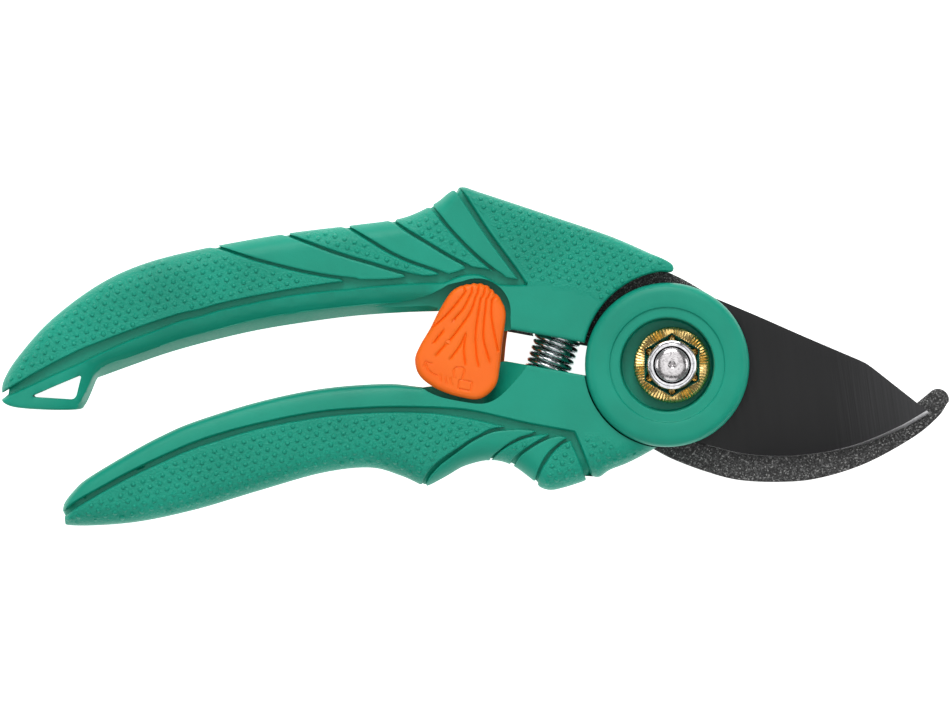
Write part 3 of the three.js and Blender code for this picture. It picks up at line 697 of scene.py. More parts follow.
LOWER_POCKET = np.vstack([
    [[-62, 6], [-57.6, -4.6]],
    curve([[-56.6, -5.2], [-54.8, -6.3], [-52.6, -7.2], [-50.3, -7.8], [-45.8, -8.6], [-43.5, -8.8],
           [-41.8, -8.6], [-40.1, -7.9], [-38.8, -7]], 0.6),
    [[-37.3, -5.6], [-35.6, -3.8], [-33.9, -1.8], [-32, 1], [-32, 6]],
])


def lower_pocket_floor(xy):
    """Floor of the hollow under the catch: level, with a ramp up towards the hub."""
    return 12 + 4.6 * smooth(xy[:, 0] - 0.55 * xy[:, 1], -38.5, -31)


HUB = cad_span("hub_cap")[1, :2]
HUB_ROOM = 18.9
HOOK_ROOM = 24.5  # what the hook's boss and heel sweep
lower_core = build("lower_core_moulding", moulding(
    lower_core_outline, lower_core_front,
    lines=[
        (LOWER_SHOULDER, (-0.9, -0.45, 0.0, 0.06, 0.16, 0.3, 0.5, 0.9)),
        (LOWER_LAST_GROOVE, (-0.9, -0.45, 0.0, 0.06, 0.16, 0.3, 0.5, 0.9)),
    ],
), nylon)
lower_web_room = np.vstack([arc(*CATCH, 19.4, 235, 278, 1), [[-42, 20], [-80, 20]]])
pocket_net = {"pitch": 1.5, "insets": (0.3, 1)}
cut_away(
    lower_core,
    bar(*HUB, HUB_ROOM, 12, 30, 96),
    bar(0, 0, HOOK_ROOM, -5, 8.75, 96),
    moulding(LOWER_POCKET, level(30), lower_pocket_floor, **pocket_net),
    moulding(LOWER_POCKET, lambda xy: 2 * MIDDLE - lower_pocket_floor(xy), level(-12), **pocket_net),
    flat_plate(lower_web_room, *WEB_SLOT),
)
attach(lower_core, "lower_handle")
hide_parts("lower_core")


# ==== lower handle: soft grip ====
# The same rubber skin: one long dotted pad, then four short leaves that make the finger rest.

LOWER_GRIP_EDGE = curve([
    [-137.6, -34.3], [-134.1, -31.9], [-129.6, -29.2], [-125.1, -26.7], [-120.6, -24.4], [-116, -22.3],
    [-111.5, -20.2], [-107, -18.5], [-102.4, -17], [-97.9, -15.6], [-91.1, -13.9], [-84.3, -12.6],
    [-77.5, -11.6], [-70.7, -11], [-63.9, -10.7], [-57.1, -10.8], [-52.6, -11.1], [-45, -12.3],
    [-37.8, -14],
])
LOWER_PAD_SIDES = [  # left edge up to the tip, then right edge down
    (None, [[-37.8, -14], [-41.2, -14.7], [-43.5, -15.9], [-45.8, -17.1], [-48, -18.6], [-50.3, -20.1],
            [-52.6, -21.7], [-54.6, -23.5], [-56, -25.5], [-56.5, -27]]),
    ([[-55.7, -27], [-54.8, -25.2], [-52.6, -22.8], [-50.3, -21], [-48, -19.3], [-45.8, -17.7],
      [-43.5, -16.4], [-41.2, -15.4], [-39, -14.9], [-34.4, -14.6], [-30.6, -15]],
     [[-30.6, -15], [-32.2, -15.7], [-34.4, -16.4], [-36.7, -17.6], [-39, -19.3], [-40.7, -20.6],
      [-41.4, -21.8]]),
    ([[-40.9, -21.6], [-39, -19.6], [-36.1, -17.8], [-33.3, -16.6], [-30.5, -15.9], [-27.6, -15.6]],
     [[-27.6, -15.6], [-29.9, -17], [-32.2, -18.4], [-34.4, -19.9], [-36.1, -21.5], [-36.7, -22.6]]),
    ([[-35.8, -22.9], [-34.4, -20.7], [-32.2, -19], [-29.9, -17.6], [-27.6, -16.6], [-25.4, -16.1],
      [-23.7, -16.5]],
     [[-23.7, -16.5], [-25.4, -17.6], [-27.6, -19.5], [-29.1, -21.5], [-30.3, -24], [-31, -26.3]]),
    ([[-30.3, -27.2], [-30.2, -25.6], [-29.5, -23.6], [-28.2, -21.5], [-26.5, -19.3], [-24.8, -17.9],
      [-23, -17.1]],
     [[-23, -17.1], [-22, -19.3], [-20.8, -22.1], [-19.9, -24.7], [-19.4, -25.9]]),
]


def lower_pads():
    """Outlines of the lower grip's five pads, from the tail to the front."""
    pads = []
    for left, right in LOWER_PAD_SIDES:
        up = LOWER_GRIP_EDGE if left is None else curve(left, 0.4)
        down = curve(right, 0.4)[1:]
        last = -137.7 if left is None else up[0, 0]
        under = run_of(LOWER_BELLY, last + 0.2, down[-1, 0] - 0.2)
        pads.append(even_outline(np.vstack([up, down, under]), 0.45))
    return pads


lower_web_outline = even_outline(np.vstack([
    beside(LOWER_GRIP_EDGE[6:-4], -0.9), [[-36, -17], [-24.5, -18.6], [-22.4, -19.4], [-21.5, -24.4]],
    beside(run_of(LOWER_BELLY, -136, -21.5), -0.45),
]), 0.6)
lower_outlines = lower_pads()
lower_grip = build("lower_grip_pads", together(
    moulding(lower_web_outline, web_front(lower_crown)),
    *pad_shells(lower_outlines, lower_crown, LOWER_BELLY, {0: -1, 2: -1, 4: -1}),
), rubber)
stippled(lower_grip, *lower_outlines[::2])
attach(lower_grip, "lower_handle")
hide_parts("lower_grip")


# ==== dots on the cores' front ends ====
# The same dots as the grip's, moulded in the nylon in front of the grip's last groove on each
# handle. They grow smaller towards the smooth field beside the hub.

upper_field_limit = np.array([[-45, 18.6], [-33, 18.3], [-24, 17.3], [-19.3, 16], [-15, 12]])
upper_field = np.vstack([
    beside(UPPER_LAST_GROOVE, -0.9)[::-1][14:-2], upper_field_limit[1:4],
    HUB_HOLLOW[HUB_HOLLOW[:, 1] > 13.5][::-1], NOSE[::-1][2:], run_of(UPPER_BACK, -47.2, -4)[::-1],
])


def smaller_towards(limit):
    """Size of the dots over a field: 0.45 at the limit line, and full 2.2 mm from it."""
    return lambda xy: np.clip(0.45 + gap(xy, limit) / 4, 0, 1)


upper_field_dots = dots(upper_core_front, upper_field, 0.85, 1, smaller_towards(upper_field_limit))
lower_field_limit = np.array([[-23, -15], [-16, -16], [-10, -18.5], [-4, -19.5]])
lower_field = np.vstack([
    beside(LOWER_LAST_GROOVE, 0.9)[1:-3], LOWER_CHIN[::-1], lower_field_limit[::-1],
])
lower_field_dots = dots(
    lower_core_front, lower_field, 0.8, -1, smaller_towards(lower_field_limit),
    lambda xy: np.hypot(*xy.T) > HOOK_ROOM + 0.8,
)
stippled(upper_core, upper_field)
stippled(lower_core, lower_field)
for name, shell, body in (
    ("upper_core_dots", upper_field_dots, "upper_handle"),
    ("lower_core_dots", lower_field_dots, "lower_handle"),
):
    field = build(name, shell, nylon)
    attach(field, body)


# ==== upper handle: round boss behind the hook ====
# Part of the same nylon moulding: a ring round the bolt's head, joined to the handle by a neck,
# that backs the hook's plate.

def ring_faces(count, around, looped=False):
    """Quads between each ring of points and the next, and from the last to the first if looped."""
    rows, columns = np.meshgrid(np.arange(count if looped else count - 1), np.arange(around), indexing="ij")
    here, after = rows * around, (rows + 1) % count * around
    beyond = (columns + 1) % around
    return np.stack([here + columns, here + beyond, after + beyond, after + columns], 2).reshape(-1, 4)


def lathe(profile, centre=(0, 0), around=128):
    """A profile of (radius, z) points turned round an axis along Z; points at radius 0 close it."""
    profile = np.asarray(profile, float)
    a = np.linspace(0, 2 * math.pi, around, endpoint=False)
    x = centre[0] + profile[:, :1] * np.cos(a)
    y = centre[1] + profile[:, :1] * np.sin(a)
    z = np.broadcast_to(profile[:, 1:], x.shape)
    points = np.dstack([x, y, z]).reshape(-1, 3)
    return merged(points, ring_faces(len(profile), around))


def merged(points, faces, nearest=1e-5):
    """The same faces with coincident points made one, and the faces that this empties dropped."""
    _, first, back = np.unique(np.round(points / nearest), axis=0, return_index=True, return_inverse=True)
    faces = back.reshape(-1)[faces]
    kept = []
    for face in faces.tolist():
        corners = [c for i, c in enumerate(face) if c != face[i - 1]]
        if len(corners) > 2:
            kept.append(corners)
    return points[first], kept


def rounded_profile(corners, radius, steps=6):
    """An open (radius, z) profile whose inner corners are rounded by a quadratic bend."""
    corners = np.asarray(corners, float)
    rounding = [corners[:1]]
    t = np.linspace(0, 1, steps + 1)[:, None]
    for before, corner, after in zip(corners[:-2], corners[1:-1], corners[2:]):
        to_before, to_after = before - corner, after - corner
        reach_before = min(radius, 0.49 * np.hypot(*to_before)) / np.hypot(*to_before)
        reach_after = min(radius, 0.49 * np.hypot(*to_after)) / np.hypot(*to_after)
        a, b = corner + reach_before * to_before, corner + reach_after * to_after
        rounding.append((1 - t) ** 2 * a + 2 * t * (1 - t) * corner + t**2 * b)
    rounding.append(corners[-1:])
    return np.vstack(rounding)


BOSS_TOP, BOSS_BORE, BOSS_RADIUS = 4.7, 8.3, 17.2
boss_ring = lathe(closed(
    rounded_profile([[BOSS_BORE, BOSS_TOP], [BOSS_BORE, 0], [BOSS_RADIUS, 0], [BOSS_RADIUS, BOSS_TOP]], 0.9),
)[::-1])
neck_outline = even_outline([[-14, 6], [-24, 14], [-14, 24], [-3, 23], [-1, 14]], 1)
back_boss = build("upper_core_boss", together(
    boss_ring,
    moulding(neck_outline, level(BOSS_TOP), level(0.05), pitch=3, insets=(0.5,)),
), nylon)
cut_away(back_boss, bar(0, 0, BOSS_BORE, -2, 8, 96))
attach(back_boss, "upper_handle")


# ==== hook ====
# Anvil hook, blanked from thick carbon steel with rounded edges, under a gritty fluoropolymer
# coat. Its tang is pinned in the upper handle.

HOOK_BOTTOM, _, HOOK_TOP = cad_span("hook")[:, 2]
HOOK_OUTLINE = even_outline(np.vstack([
    curve([[10.4, 14.9], [0.2, 20.6], [-10, 23.4], [-24, 27], [-45, 31], [-66, 27.5], [-82, 26]]),
    curve([[-82, 22.5], [-66, 22.8], [-50, 23], [-42, 21.5]]),
    [[-37.5, 14], [-37.2, 7.5], [-36.4, 7.4], [-20, 4.4], [-18.2, 4.1]],
    arc(0, 0, 17.5, 168, 236),
    curve([
        [-6.5, -17.6], [-4.1, -19.1], [0.5, -21.5], [7.7, -24.2], [15, -26.1], [24, -26.6],
        [33.1, -25.8], [44, -22.4], [54.8, -16.5], [60.5, -11.8], [62.7, -8.6],
    ]),
    arc(60.5, -7.9, 2.5, -15, 140, 0.3),
    curve([
        [57, -7.6], [52, -11.4], [42, -15.6], [31, -17.6], [21, -16.4], [15.5, -11.5], [13.5, -3],
        [12.6, 7],
    ]),
]), 0.4)


def plate_faces(outline, bottom, top, rounding):
    """A blanked plate: two flat faces rounded over at the outline by a quarter circle."""
    ring = closed(outline)
    return moulding(
        outline,
        lambda xy: top - shoulder(gap(xy, ring), rounding, rounding),
        lambda xy: bottom + shoulder(gap(xy, ring), rounding, rounding),
        pitch=3, insets=(0.04, 0.12, 0.25, 0.5, 1.2),
    )


def gritty_coat():
    """Sprayed fluoropolymer over grit-blasted steel: near black, with pale grains in the film."""
    material, surface = shader("gritty_fluoropolymer", {"IOR": 1.38, "Roughness": 0.5})
    place = add(material, "ShaderNodeTexCoord").outputs["Object"]
    # the grit is about 0.1 mm; it is drawn at 0.27 mm so that it shows
    grit = add(material, "ShaderNodeTexVoronoi", {"Scale": 1 / (0.27 * MILLIMETRE)}, {"Vector": place})
    pick = add(material, "ShaderNodeSeparateColor", links={"Color": grit.outputs["Color"]})
    colour = add(material, "ShaderNodeValToRGB", None, {"Fac": pick.outputs["Red"]}, [
        (0.0, "#1c1c1c"), (0.45, "#333333"), (0.75, "#4d4d4d"), (0.93, "#707070"), (1.0, "#9c9c9a"),
    ])
    bump = add(material, "ShaderNodeBump", {"Strength": 0.7, "Distance": 0.05 * MILLIMETRE},
               {"Height": pick.outputs["Green"]})
    feed(surface, {"Base Color": colour.outputs["Color"], "Normal": bump.outputs["Normal"]})
    return material


hook = build("hook_plate", plate_faces(HOOK_OUTLINE, HOOK_BOTTOM, HOOK_TOP, 0.45), gritty_coat(), 50)
# a notch in the plate for the spring's end
spring_notch = even_outline([[-34.5, 20], [-30.5, 3], [-20.9, 0.5], [-20.9, 20]], 2)
cut_away(hook, flat_plate(spring_notch, 4, 10), sharp=50)
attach(hook, "upper_handle")
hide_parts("hook")


# ==== blade ====
# Cutting blade, blanked from hardened carbon steel, ground hollow towards its edge and coated
# smooth; the last fraction of a millimetre is ground bare. Its tang is pinned in the lower handle.

BLADE_BOTTOM, _, BLADE_TOP = cad_span("blade")[:, 2]
BLADE_SPINE = curve([
    [10.2, 15], [19.9, 10.9], [29, 6.9], [38.1, 3], [43, 0.9], [45.2, -0.4], [49.8, -4], [55.8, -8.7],
    [58.7, -10.9],
])
CUTTING_EDGE = curve([
    [58.7, -10.9], [51.9, -14.7], [42.6, -18.3], [33.5, -20.1], [24.5, -20.8], [15.4, -20.1],
    [6.3, -17.8], [2, -17.4],
])
BLADE_OUTLINE = even_outline(np.vstack([
    BLADE_SPINE, CUTTING_EDGE[1:], arc(0, 0, 17.5, 268, 240),
    curve([[-13, -16.8], [-28, -18.4], [-45, -17.5], [-66, -15]]),
    curve([[-66, -12.5], [-45, -12], [-30, -10.5], [-22, -8.5], [-17, -4]]),
    arc(0, 0, 17.5, 188, 56),
]), 0.4)
GRIND_WIDTH = 15
GRIND_FALL = 1.3
EDGE_FALL = 1.6


def bare_width(xy):
    """Width of the bare ground edge, which grows from the heel to the tip."""
    return 0.1 + 0.75 * smooth(xy[:, 0], 30, 58)


def blade_front(xy):
    """Front face: flat, then a hollow grind that falls as the square of the way to the edge, then
    the steep bare bevel."""
    away = gap(xy, CUTTING_EDGE)
    bevel = bare_width(xy)
    grind = GRIND_FALL * (1 - np.clip(away / GRIND_WIDTH, 0, 1)) ** 2 * smooth(xy[:, 0], 6, 24)
    edge = EDGE_FALL * (1 - np.clip(away / bevel, 0, 1))
    spine = shoulder(gap(xy, BLADE_SPINE), 0.3, 0.3)
    return BLADE_TOP - grind - np.where(xy[:, 0] > 4, edge, 0) - spine


BEVEL_LINE = beside(CUTTING_EDGE[::-1], bare_width(CUTTING_EDGE[::-1]))
blade_shell = moulding(
    BLADE_OUTLINE, blade_front, level(BLADE_BOTTOM),
    lines=[(BEVEL_LINE, (0, 0.08, 0.5, 1))],
    pitch=1.5, insets=(0.05, 1.4),
)


def coated_blade():
    """Smooth black fluoropolymer over fine grinding lines, painted lighter towards the tip for the light on
    the hollow grind; bare bright steel where "bare" is 1.
    """
    material, surface = shader("smooth_fluoropolymer", {"IOR": 1.38})
    place = add(material, "ShaderNodeTexCoord").outputs["Object"]
    # grinding lines run across the blade, about 0.15 mm apart, drawn at 0.3 mm so that they show
    turn = add(material, "ShaderNodeMapping", {"Rotation": (0, 0, math.radians(-8))}, {"Vector": place})
    stretch = add(material, "ShaderNodeMapping", {"Scale": (1 / (0.3 * MILLIMETRE), 1 / 0.02, 1 / 0.02)},
                  {"Vector": turn.outputs["Vector"]})
    lines = add(material, "ShaderNodeTexNoise", {"Scale": 1.0, "Detail": 2.0},
                {"Vector": stretch.outputs["Vector"]})
    parts = add(material, "ShaderNodeSeparateXYZ", links={"Vector": place})
    # painted light: the film is drawn lighter from 8 mm to 55 mm along X, standing in for the light that the
    # sloped grind face catches towards the tip
    painted_grind_light = add(material, "ShaderNodeMapRange", {
        "From Min": 0.008, "From Max": 0.055, "To Min": 0.0, "To Max": 0.3,
    }, {"Value": parts.outputs["X"]})
    shade = add(material, "ShaderNodeMath", {"operation": "MULTIPLY_ADD", 1: 0.12},
                {0: lines.outputs["Fac"], 2: painted_grind_light.outputs["Result"]})
    film = add(material, "ShaderNodeValToRGB", None, {"Fac": shade.outputs["Value"]},
               [(0.0, "#050507"), (0.25, "#0e0e10"), (0.5, "#4a4a4c")])
    bare = add(material, "ShaderNodeAttribute", {"attribute_name": "bare"}).outputs["Fac"]
    colour = add(material, "ShaderNodeMix", {"data_type": "RGBA", 7: linear("#c9c9cb")},
                 {0: bare, 6: film.outputs["Color"]})
    rough = add(material, "ShaderNodeMapRange", {
        "From Min": 0.3, "From Max": 0.7, "To Min": 0.3, "To Max": 0.42,
    }, {"Value": lines.outputs["Fac"]})
    bump = add(material, "ShaderNodeBump", {"Strength": 0.25, "Distance": 0.02 * MILLIMETRE},
               {"Height": lines.outputs["Fac"]})
    feed(surface, {
        "Base Color": colour.outputs[2], "Metallic": bare,
        "Roughness": rough.outputs["Result"], "Normal": bump.outputs["Normal"],
    })
    return material


blade = build("blade_plate", blade_shell, coated_blade(), 25)
blade_xy = blade_shell[0][:, :2]
on_bevel = gap(blade_xy, CUTTING_EDGE) <= bare_width(blade_xy) + 0.03
on_bevel &= (blade_xy[:, 0] > 8) & (blade_shell[0][:, 2] > BLADE_BOTTOM)
bare = blade.data.attributes.new("bare", "FLOAT", "POINT")
bare.data.foreach_set("value", on_bevel.astype(np.float32))
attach(blade, "lower_handle")
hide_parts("blade")


# ==== hub cap ====
# Round nylon cap that covers the joint in front: a flat outer band, a shallow step, and a deep
# recess with the seat that the bolt's nut and its lock ring sit on.

hub_profile = closed(np.vstack([
    rounded_profile([[7.5, 12.3], [18.6, 12.3], [18.6, 17.3], [18.35, 18.4]], 0.5),
    [[17.9, 18.95], [17.3, 19.3], [16.6, 19.46], [15.8, 19.5], [14.5, 19.5]],
    rounded_profile([[13.3, 19.5], [13.05, 19.4], [12.95, 19.05], [12.6, 19.0], [11.3, 18.95]], 0.2),
    rounded_profile([
        [11.1, 18.95], [10.75, 18.85], [10.6, 18.3], [10.4, 13.3], [10.2, 13], [7.5, 13],
    ], 0.3),
]))
seat_profile = closed(np.array([[6.1, 12.5], [8.6, 12.5], [8.6, 14.8], [8.4, 15], [6.1, 15]]))
hub_cap = build("hub_cap_moulding", together(
    lathe(hub_profile, HUB, 160),
    lathe(seat_profile),
), nylon, 42)
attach(hub_cap, "lower_handle")
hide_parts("hub_cap")


# ==== pivot bolt, nut and lock ring ====
# Zinc-plated bolt with a domed, centre-marked end, a chromed nut with a round collar over its
# hexagon base, and a brass-plated ring whose radial teeth keep the nut from turning.

def metal(name, colour, dark, roughness, scratch_mm):
    """Plated metal: bright, with fine handling scratches in the plating's gloss."""
    material, surface = shader(name, {"Metallic": 1.0})
    place = add(material, "ShaderNodeTexCoord").outputs["Object"]
    scratch = add(material, "ShaderNodeTexNoise", {
        "Scale": 1 / (scratch_mm * MILLIMETRE), "Detail": 4.0, "Distortion": 2.0,
    }, {"Vector": place})
    tint = add(material, "ShaderNodeValToRGB", None, {"Fac": scratch.outputs["Fac"]},
               [(0.25, dark), (0.6, colour)])
    gloss = add(material, "ShaderNodeMapRange", {
        "From Min": 0.3, "From Max": 0.7, "To Min": roughness, "To Max": roughness + 0.12,
    }, {"Value": scratch.outputs["Fac"]})
    bump = add(material, "ShaderNodeBump", {"Strength": 0.3, "Distance": 0.02 * MILLIMETRE},
               {"Height": scratch.outputs["Fac"]})
    feed(surface, {
        "Base Color": tint.outputs["Color"], "Roughness": gloss.outputs["Result"],
        "Normal": bump.outputs["Normal"],
    })
    return material


# zinc greyish and scuffed, chrome mirror-bright, brass warm and dark in its scratches, and plain
# steel dull
zinc = metal("zinc_plated_steel", "#d6d3d4", "#8e8a8c", 0.12, 1.2)
chrome = metal("chromed_steel", "#e4e4e6", "#b4b4b8", 0.07, 2.0)
brass = metal("brass_plated_steel", "#ecd08a", "#8f6428", 0.16, 0.6)
steel = metal("plain_steel", "#b5b6b8", "#85868a", 0.28, 0.8)

# head, shank, then the domed end with its centre mark
bolt_profile = np.vstack([
    [[0, 0]], rounded_profile([[0.01, 0], [8, 0], [8, BOSS_TOP], [3.95, BOSS_TOP], [3.95, 17.9]], 0.7),
    [[3.94, 18.25], [3.86, 18.55], [3.62, 18.82], [3.15, 19.03], [2.5, 19.17], [1.8, 19.26],
     [1.2, 19.3], [0.75, 19.27], [0.5, 19.1], [0.3, 18.8], [0, 18.6]],
])
pivot_bolt = build("pivot_bolt_turned", lathe(bolt_profile), zinc, 50)
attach(pivot_bolt, "lower_handle")
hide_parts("pivot_bolt")


def polar(radius, z, around=360):
    """A closed ring: radius(angle) and z(angle) each give a row of values for every step of a profile
    that runs round the ring's section."""
    a = np.linspace(0, 2 * math.pi, around, endpoint=False)
    r, height = radius(a), z(a)
    points = np.dstack([r * np.cos(a), r * np.sin(a), height]).reshape(-1, 3)
    return points, ring_faces(len(r), around, True).tolist()


NUT_FLATS = 2 * cad_span("pivot_nut")[2, 0]


def hexagon(angle, flats):
    """Distance from the middle to the side of a hexagon with corners on the Y axis."""
    turn = (angle + math.pi / 6) % (math.pi / 3) - math.pi / 6
    return flats / 2 / np.cos(turn)


def nut_radius(a):
    """Rings of the nut: up its bore, out over the round collar and down it, out to the hexagon base,
    down the flats and back to the bore."""
    side = hexagon(a, NUT_FLATS - 0.45)
    collar = (4.2, 4.2, 4.3, 4.55, 4.75, 4.9, 5.2, 5.45, 5.6, 5.64, 5.64)
    return np.array([*(np.full_like(a, r) for r in collar), side, side, np.full_like(a, 4.2)])


def nut_height(a):
    """Heights of those rings: the collar's grooved top and round shoulder, then a cone that falls
    to the flats."""
    levels = (15.4, 18.1, 18.3, 18.34, 18.3, 18.44, 18.5, 18.4, 18.1, 17.9, 17.1, 15.6, 15.3, 15.3)
    return np.array([np.full_like(a, level) for level in levels])


pivot_nut = build("pivot_nut_chromed", polar(nut_radius, nut_height), chrome, 30)
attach(pivot_nut, "lower_handle")
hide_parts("pivot_nut")

RING_TEETH = 72
RING_RADIUS = cad_span("lock_ring")[2, 0]


def ring_radius(a):
    """Rings of the lock ring between its hexagon hole and its round edge."""
    hole = hexagon(a, NUT_FLATS + 0.1)
    share = np.array([0, 0.0, 0.08, 0.3, 0.6, 0.85, 0.96, 1, 1])[:, None]
    return hole + share * (RING_RADIUS - hole)


def ring_height(a):
    """Heights of those rings: a face that rises a little inwards, broken by sharp radial teeth."""
    tooth = np.abs((a * RING_TEETH / (2 * math.pi)) % 1 - 0.5) * 2
    uneven = 0.75 + 0.25 * np.sin(7 * a) * np.cos(3 * a)
    deep = np.array([0, 0.6, 1, 1, 1, 1, 0.8, 0.2, 0])[:, None]
    base = np.array([15.3, 16.75, 16.88, 16.86, 16.8, 16.7, 16.55, 16.3, 15.3])[:, None]
    return base - deep * 0.3 * tooth * uneven


lock_ring = build("lock_ring_toothed", polar(ring_radius, ring_height, 12 * RING_TEETH), brass, 25)
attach(lock_ring, "lower_handle")
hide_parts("lock_ring")


# ==== spring ====
# Return spring, coiled from round bright-drawn spring wire. Its ends sit on pegs in the two handles.

SPRING_CENTRE = np.array([-26.9, 2.6])
SPRING_TILT = math.radians(18)
SPRING_LENGTH, SPRING_RADIUS, WIRE_RADIUS, SPRING_TURNS = 15.4, 4.7, 0.58, 10
spring_axis = np.array([-math.sin(SPRING_TILT), -math.cos(SPRING_TILT)])


def coil():
    """A round wire on a helix whose axis lies in the handles' plane: u runs along the wire and v
    round it.

    The wire's middle is the axis point plus the helix radius times (cos, sin) of the turn; around it
    v sweeps the wire's radius in the plane of the helix's outward normal and the axis.
    """
    u = np.linspace(0, 1, 36 * SPRING_TURNS + 1)
    v = np.linspace(0, 2 * math.pi, 12, endpoint=False)
    turn = 2 * math.pi * SPRING_TURNS * u
    along = (u - 0.5) * (SPRING_LENGTH - 2 * WIRE_RADIUS)
    axis = np.array([*spring_axis, 0])
    side = np.array([spring_axis[1], -spring_axis[0], 0])
    up = np.array([0, 0, 1])
    outward = np.cos(turn)[:, None] * side + np.sin(turn)[:, None] * up
    middle = np.array([*SPRING_CENTRE, MIDDLE]) + along[:, None] * axis + SPRING_RADIUS * outward
    end = np.sqrt(np.clip(1 - (1 - np.clip(np.minimum(u, 1 - u) * 250, 0, 1)) ** 2, 0.0, 1))
    thick = (WIRE_RADIUS * end)[:, None, None]
    points = middle[:, None] + thick * (np.cos(v)[:, None] * outward[:, None] + np.sin(v)[:, None] * axis)
    return merged(points.reshape(-1, 3), ring_faces(len(u), len(v)))


# drawn wire: bright lights on dark flanks
spring_steel = metal("bright_spring_steel", "#cfd3d6", "#74787c", 0.1, 1.0)
spring = build("spring_coil", coil(), spring_steel, 180)
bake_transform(spring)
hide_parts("spring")


# ==== thumb catch: front and rear covers ====
# Two orange nylon shells, injection moulded and screwed together over a steel web. The front one
# has a fan of grooves for the thumb, a scalloped top, and fine sunk signs for locking.

CATCH_OUTLINE = curve([
    [-39, 15.3], [-37.8, 12.7], [-37.7, 10.2], [-38.4, 5.1], [-39, -0.6], [-40, -4.8], [-43.3, -7.6],
    [-47.5, -7.4], [-53.1, -5.5], [-57.1, -2.5], [-58.2, 1.1], [-57.1, 4.3], [-54.8, 8.2],
    [-52.6, 12.5], [-49.7, 16.8], [-45.8, 18.4], [-42, 18.1], [-39, 15.3],
], 0.3)[:-1]
FAN_GROOVES = [curve(points, 0.3) for points in (
    [[-46.7, 16.6], [-49.2, 13.3], [-51.9, 10.4], [-54.9, 7.9]],
    [[-45.6, 15.9], [-47.1, 12.9], [-49.2, 10.4]],
    [[-44.4, 15.4], [-45.6, 12], [-47.8, 8.7], [-50.2, 5.6]],
    [[-43.3, 14.9], [-44.2, 9.4], [-44.5, 5.6], [-44.2, 1.7], [-43.8, -0.2]],
    [[-42, 14.9], [-42.6, 9.2], [-42.6, 5.4], [-41.5, 1.4]],
    [[-40.8, 14.6], [-40.8, 10.2], [-39.4, 3.2]],
    [[-51.9, 7.5], [-53.8, 5.1]], [[-51.4, 4.4], [-53, 2.6]],
    [[-46.7, 7], [-48, 4.3], [-49.9, 1.7]], [[-46.7, 7], [-47.1, 3.4], [-46.8, 0.2]],
    [[-45.3, 17.6], [-45.3, 16.4]], [[-43.7, 17.9], [-44, 16.2]], [[-42.2, 17.5], [-42.7, 15.8]],
    [[-40.9, 16.8], [-41.6, 15.4]], [[-39.7, 15.6], [-40.8, 14.6]], [[-47, 17.3], [-46.7, 16.5]],
)]
SIGNS = [even(points, 0.25) for points in (
    [[-53.2, -2.4], [-54.3, -1.9], [-55.2, -1.1], [-55.7, 0.2]],
    [[-56.2, -0.3], [-55.8, 0.8], [-54.8, 0.3]],
    [[-52.4, -2.7], [-52.3, -3.6]], [[-51.3, -2.9], [-51.1, -3.9]], [[-50.2, -3.1], [-50, -4.2]],
    [[-49.3, -2.6], [-49.5, -1.3], [-49, -0.6], [-47.4, -0.6], [-46.9, -1.1], [-47.6, -3.4]],
    [[-48.1, -3.4], [-45.2, -3.9], [-45.6, -5.9], [-48.4, -5.4], [-48.1, -3.4]],
)]
FRONT_COVER = (14.4, cad_span("catch_front_cover")[2, 2])  # from z to z
REAR_COVER = (cad_span("catch_rear_cover")[0, 2], 3.6)


def scalloped(outline):
    """The outline with a wave of half-round ridges round its top end."""
    angle = np.degrees(np.arctan2(outline[:, 1] - 11, outline[:, 0] + 43.8))
    window = smooth(angle, 42, 55) * (1 - smooth(angle, 108, 122))
    wave = np.abs(np.sin(np.radians((angle - 42) * 180 / 12.5)))
    outward = (outline - [-43.8, 11]) / np.hypot(*(outline - [-43.8, 11]).T)[:, None]
    return outline + (0.28 * window * (wave - 1))[:, None] * outward


def catch_face(xy, outline):
    """How far the cover's face lies below its top: a rounded edge, a slight crown, grooves cut as a
    bell curve of the distance from their middles, and signs as a squarer one."""
    away = gap(xy, closed(outline))
    fall = shoulder(away, 1.3, 1.2) + 0.25 * (1 - np.clip(away / 8, 0, 1)) ** 2
    groove = np.max([np.exp(-((gap(xy, line) / 0.2) ** 2)) for line in FAN_GROOVES], axis=0)
    sign = np.max([np.exp(-((gap(xy, line) / 0.2) ** 4)) for line in SIGNS], axis=0)
    return fall + 0.5 * groove + 0.26 * sign


# rows of points beside each groove and sign
COVER_ROWS = (-0.42, -0.26, -0.14, 0.0, 0.14, 0.26, 0.42)
# the same nylon dyed orange, a little glossier where thumbs rub it
orange = moulded_plastic("moulded_nylon_orange", "#f6680f", "#fb6e13", "#fd7518", 0.4, 0.5, 0.03)
cover_net = {"pitch": 0.9, "insets": (0.08, 0.2, 0.4, 0.7, 1.1, 1.5)}
FRONT_OUTLINE = scalloped(CATCH_OUTLINE)
front_cover = build("catch_front_shell", moulding(
    FRONT_OUTLINE,
    lambda xy: FRONT_COVER[1] - catch_face(xy, FRONT_OUTLINE),
    level(FRONT_COVER[0]),
    lines=[(line, COVER_ROWS) for line in [*FAN_GROOVES, *SIGNS]],
    **cover_net,
), orange, 50)

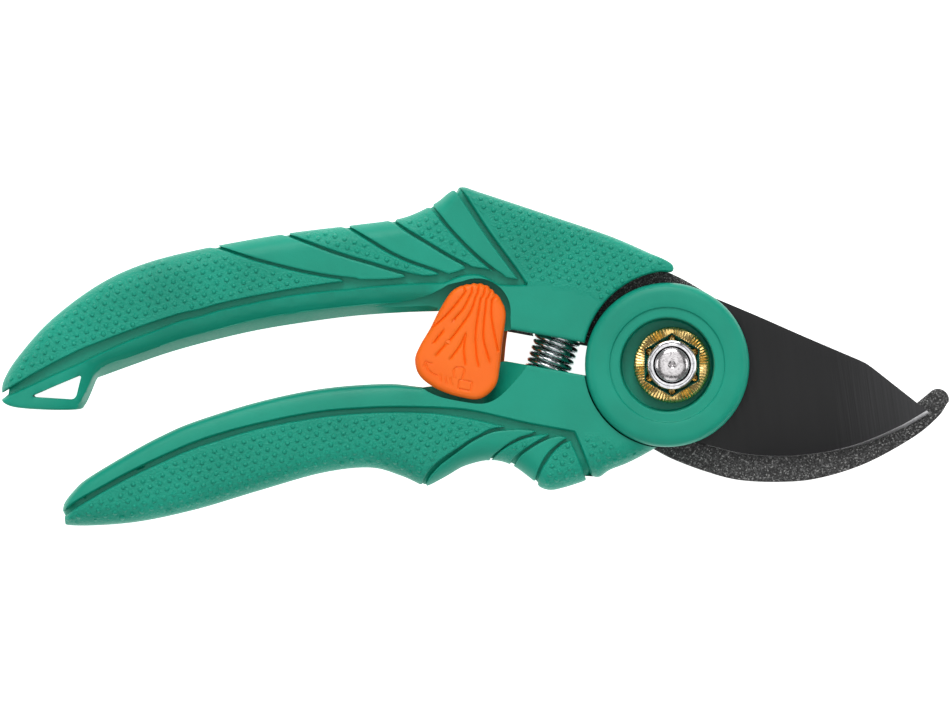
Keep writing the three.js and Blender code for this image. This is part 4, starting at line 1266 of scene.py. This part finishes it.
# the rear cover is a little wider on the hub's side, where it shows past the front one
POST = cad_span("catch_screw")[1, :2]
wider = 0.85 * smooth(CATCH_OUTLINE[:, 0], -44, -40) * (1 - smooth(CATCH_OUTLINE[:, 1], 8, 13))
REAR_OUTLINE = CATCH_OUTLINE + np.c_[wider, np.zeros(len(wider))]
rear_cover = build("catch_rear_shell", moulding(
    REAR_OUTLINE,
    level(REAR_COVER[1]),
    lambda xy: REAR_COVER[0] + 0.7 * catch_face(xy, REAR_OUTLINE),
    lines=[(line, COVER_ROWS) for line in FAN_GROOVES],
    **cover_net,
), orange, 50)
cut_away(rear_cover, bar(*POST, 2.6, -3, 2.1))
post = build("catch_post", together(
    bar(*POST, 2.4, WEB_SLOT[1], 15),
    bar(*POST, 2.4, 3, WEB_SLOT[0]),
), orange)
for piece, nodes in (
    (front_cover, ["catch_front_cover"]), (rear_cover, ["catch_rear_cover"]), (post, []),
):
    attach(piece, "catch")
    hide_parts(*nodes)


# ==== pins, washer, catch web and screw ====
# Plain ground steel, kept as drawn: they are pressed or screwed in and mostly hidden.

for name in (
    "hook_tang_pin_1", "hook_tang_pin_2", "blade_tang_pin_1", "blade_tang_pin_2", "catch_pin",
    "keeper_pin", "pivot_washer", "catch_web", "catch_screw",
):
    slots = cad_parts[name].data.materials
    for i in range(len(slots)):
        slots[i] = steel


# ==== floor, light and camera ====
# The shears lie on a sheet of opal acrylic lit from behind, under one large soft light and four
# small ones. The camera is far above with a long lens, so that no side wall leans into view.

FLOOR_REACH, FLOOR_LEVEL = 4000, -0.8
floor_points = np.array([[-1, -1, 0], [1, -1, 0], [1, 1, 0], [-1, 1, 0]]) * FLOOR_REACH + [0, 0, FLOOR_LEVEL]
acrylic, _ = shader("lit_opal_acrylic", {
    "Base Color": linear("#e6e6e6"), "Roughness": 0.9,
    "Emission Color": (1, 1, 1, 1), "Emission Strength": 0.95,
})
floor = build("floor", (floor_points, [[0, 1, 2, 3]]), acrylic)


def softbox(name, place, target, size, watts):
    """A square area light that faces a target."""
    lamp = bpy.data.lights.new(name, "AREA")
    lamp.shape = "SQUARE"
    lamp.size = size
    lamp.energy = watts
    holder = bpy.data.objects.new(name, lamp)
    bpy.context.scene.collection.objects.link(holder)
    holder.location = place
    holder.rotation_euler = (Vector(target) - Vector(place)).to_track_quat("-Z", "Y").to_euler()


MIDDLE_OF_VIEW = (-0.0446, 0.0019, 0.009)
softbox("overhead", (-0.05, 0.3, 4.4), MIDDLE_OF_VIEW, 3.7, 47)
softbox("key", (-0.1, 1.1, 0.95), MIDDLE_OF_VIEW, 0.9, 13)
softbox("fill", (-0.1, -1.1, 0.9), MIDDLE_OF_VIEW, 0.9, 2.8)
softbox("left", (-1.2, 0.1, 0.8), MIDDLE_OF_VIEW, 0.7, 3)
softbox("right", (1.1, 0.1, 0.8), MIDDLE_OF_VIEW, 0.7, 3)

world = bpy.data.worlds.new("studio")
world.use_nodes = True
background = world.node_tree.nodes["Background"]
background.inputs["Color"].default_value = (1, 1, 1, 1)
background.inputs["Strength"].default_value = 0.22
bpy.context.scene.world = world
bpy.context.scene.view_settings.view_transform = "Standard"

camera_data = bpy.data.cameras.new("camera")
camera_data.lens = 583
camera_data.sensor_width = 36
camera_data.clip_end = 10
camera = bpy.data.objects.new("camera", camera_data)
camera.location = (*MIDDLE_OF_VIEW[:2], 3.5)
bpy.context.scene.collection.objects.link(camera)
bpy.context.scene.camera = camera
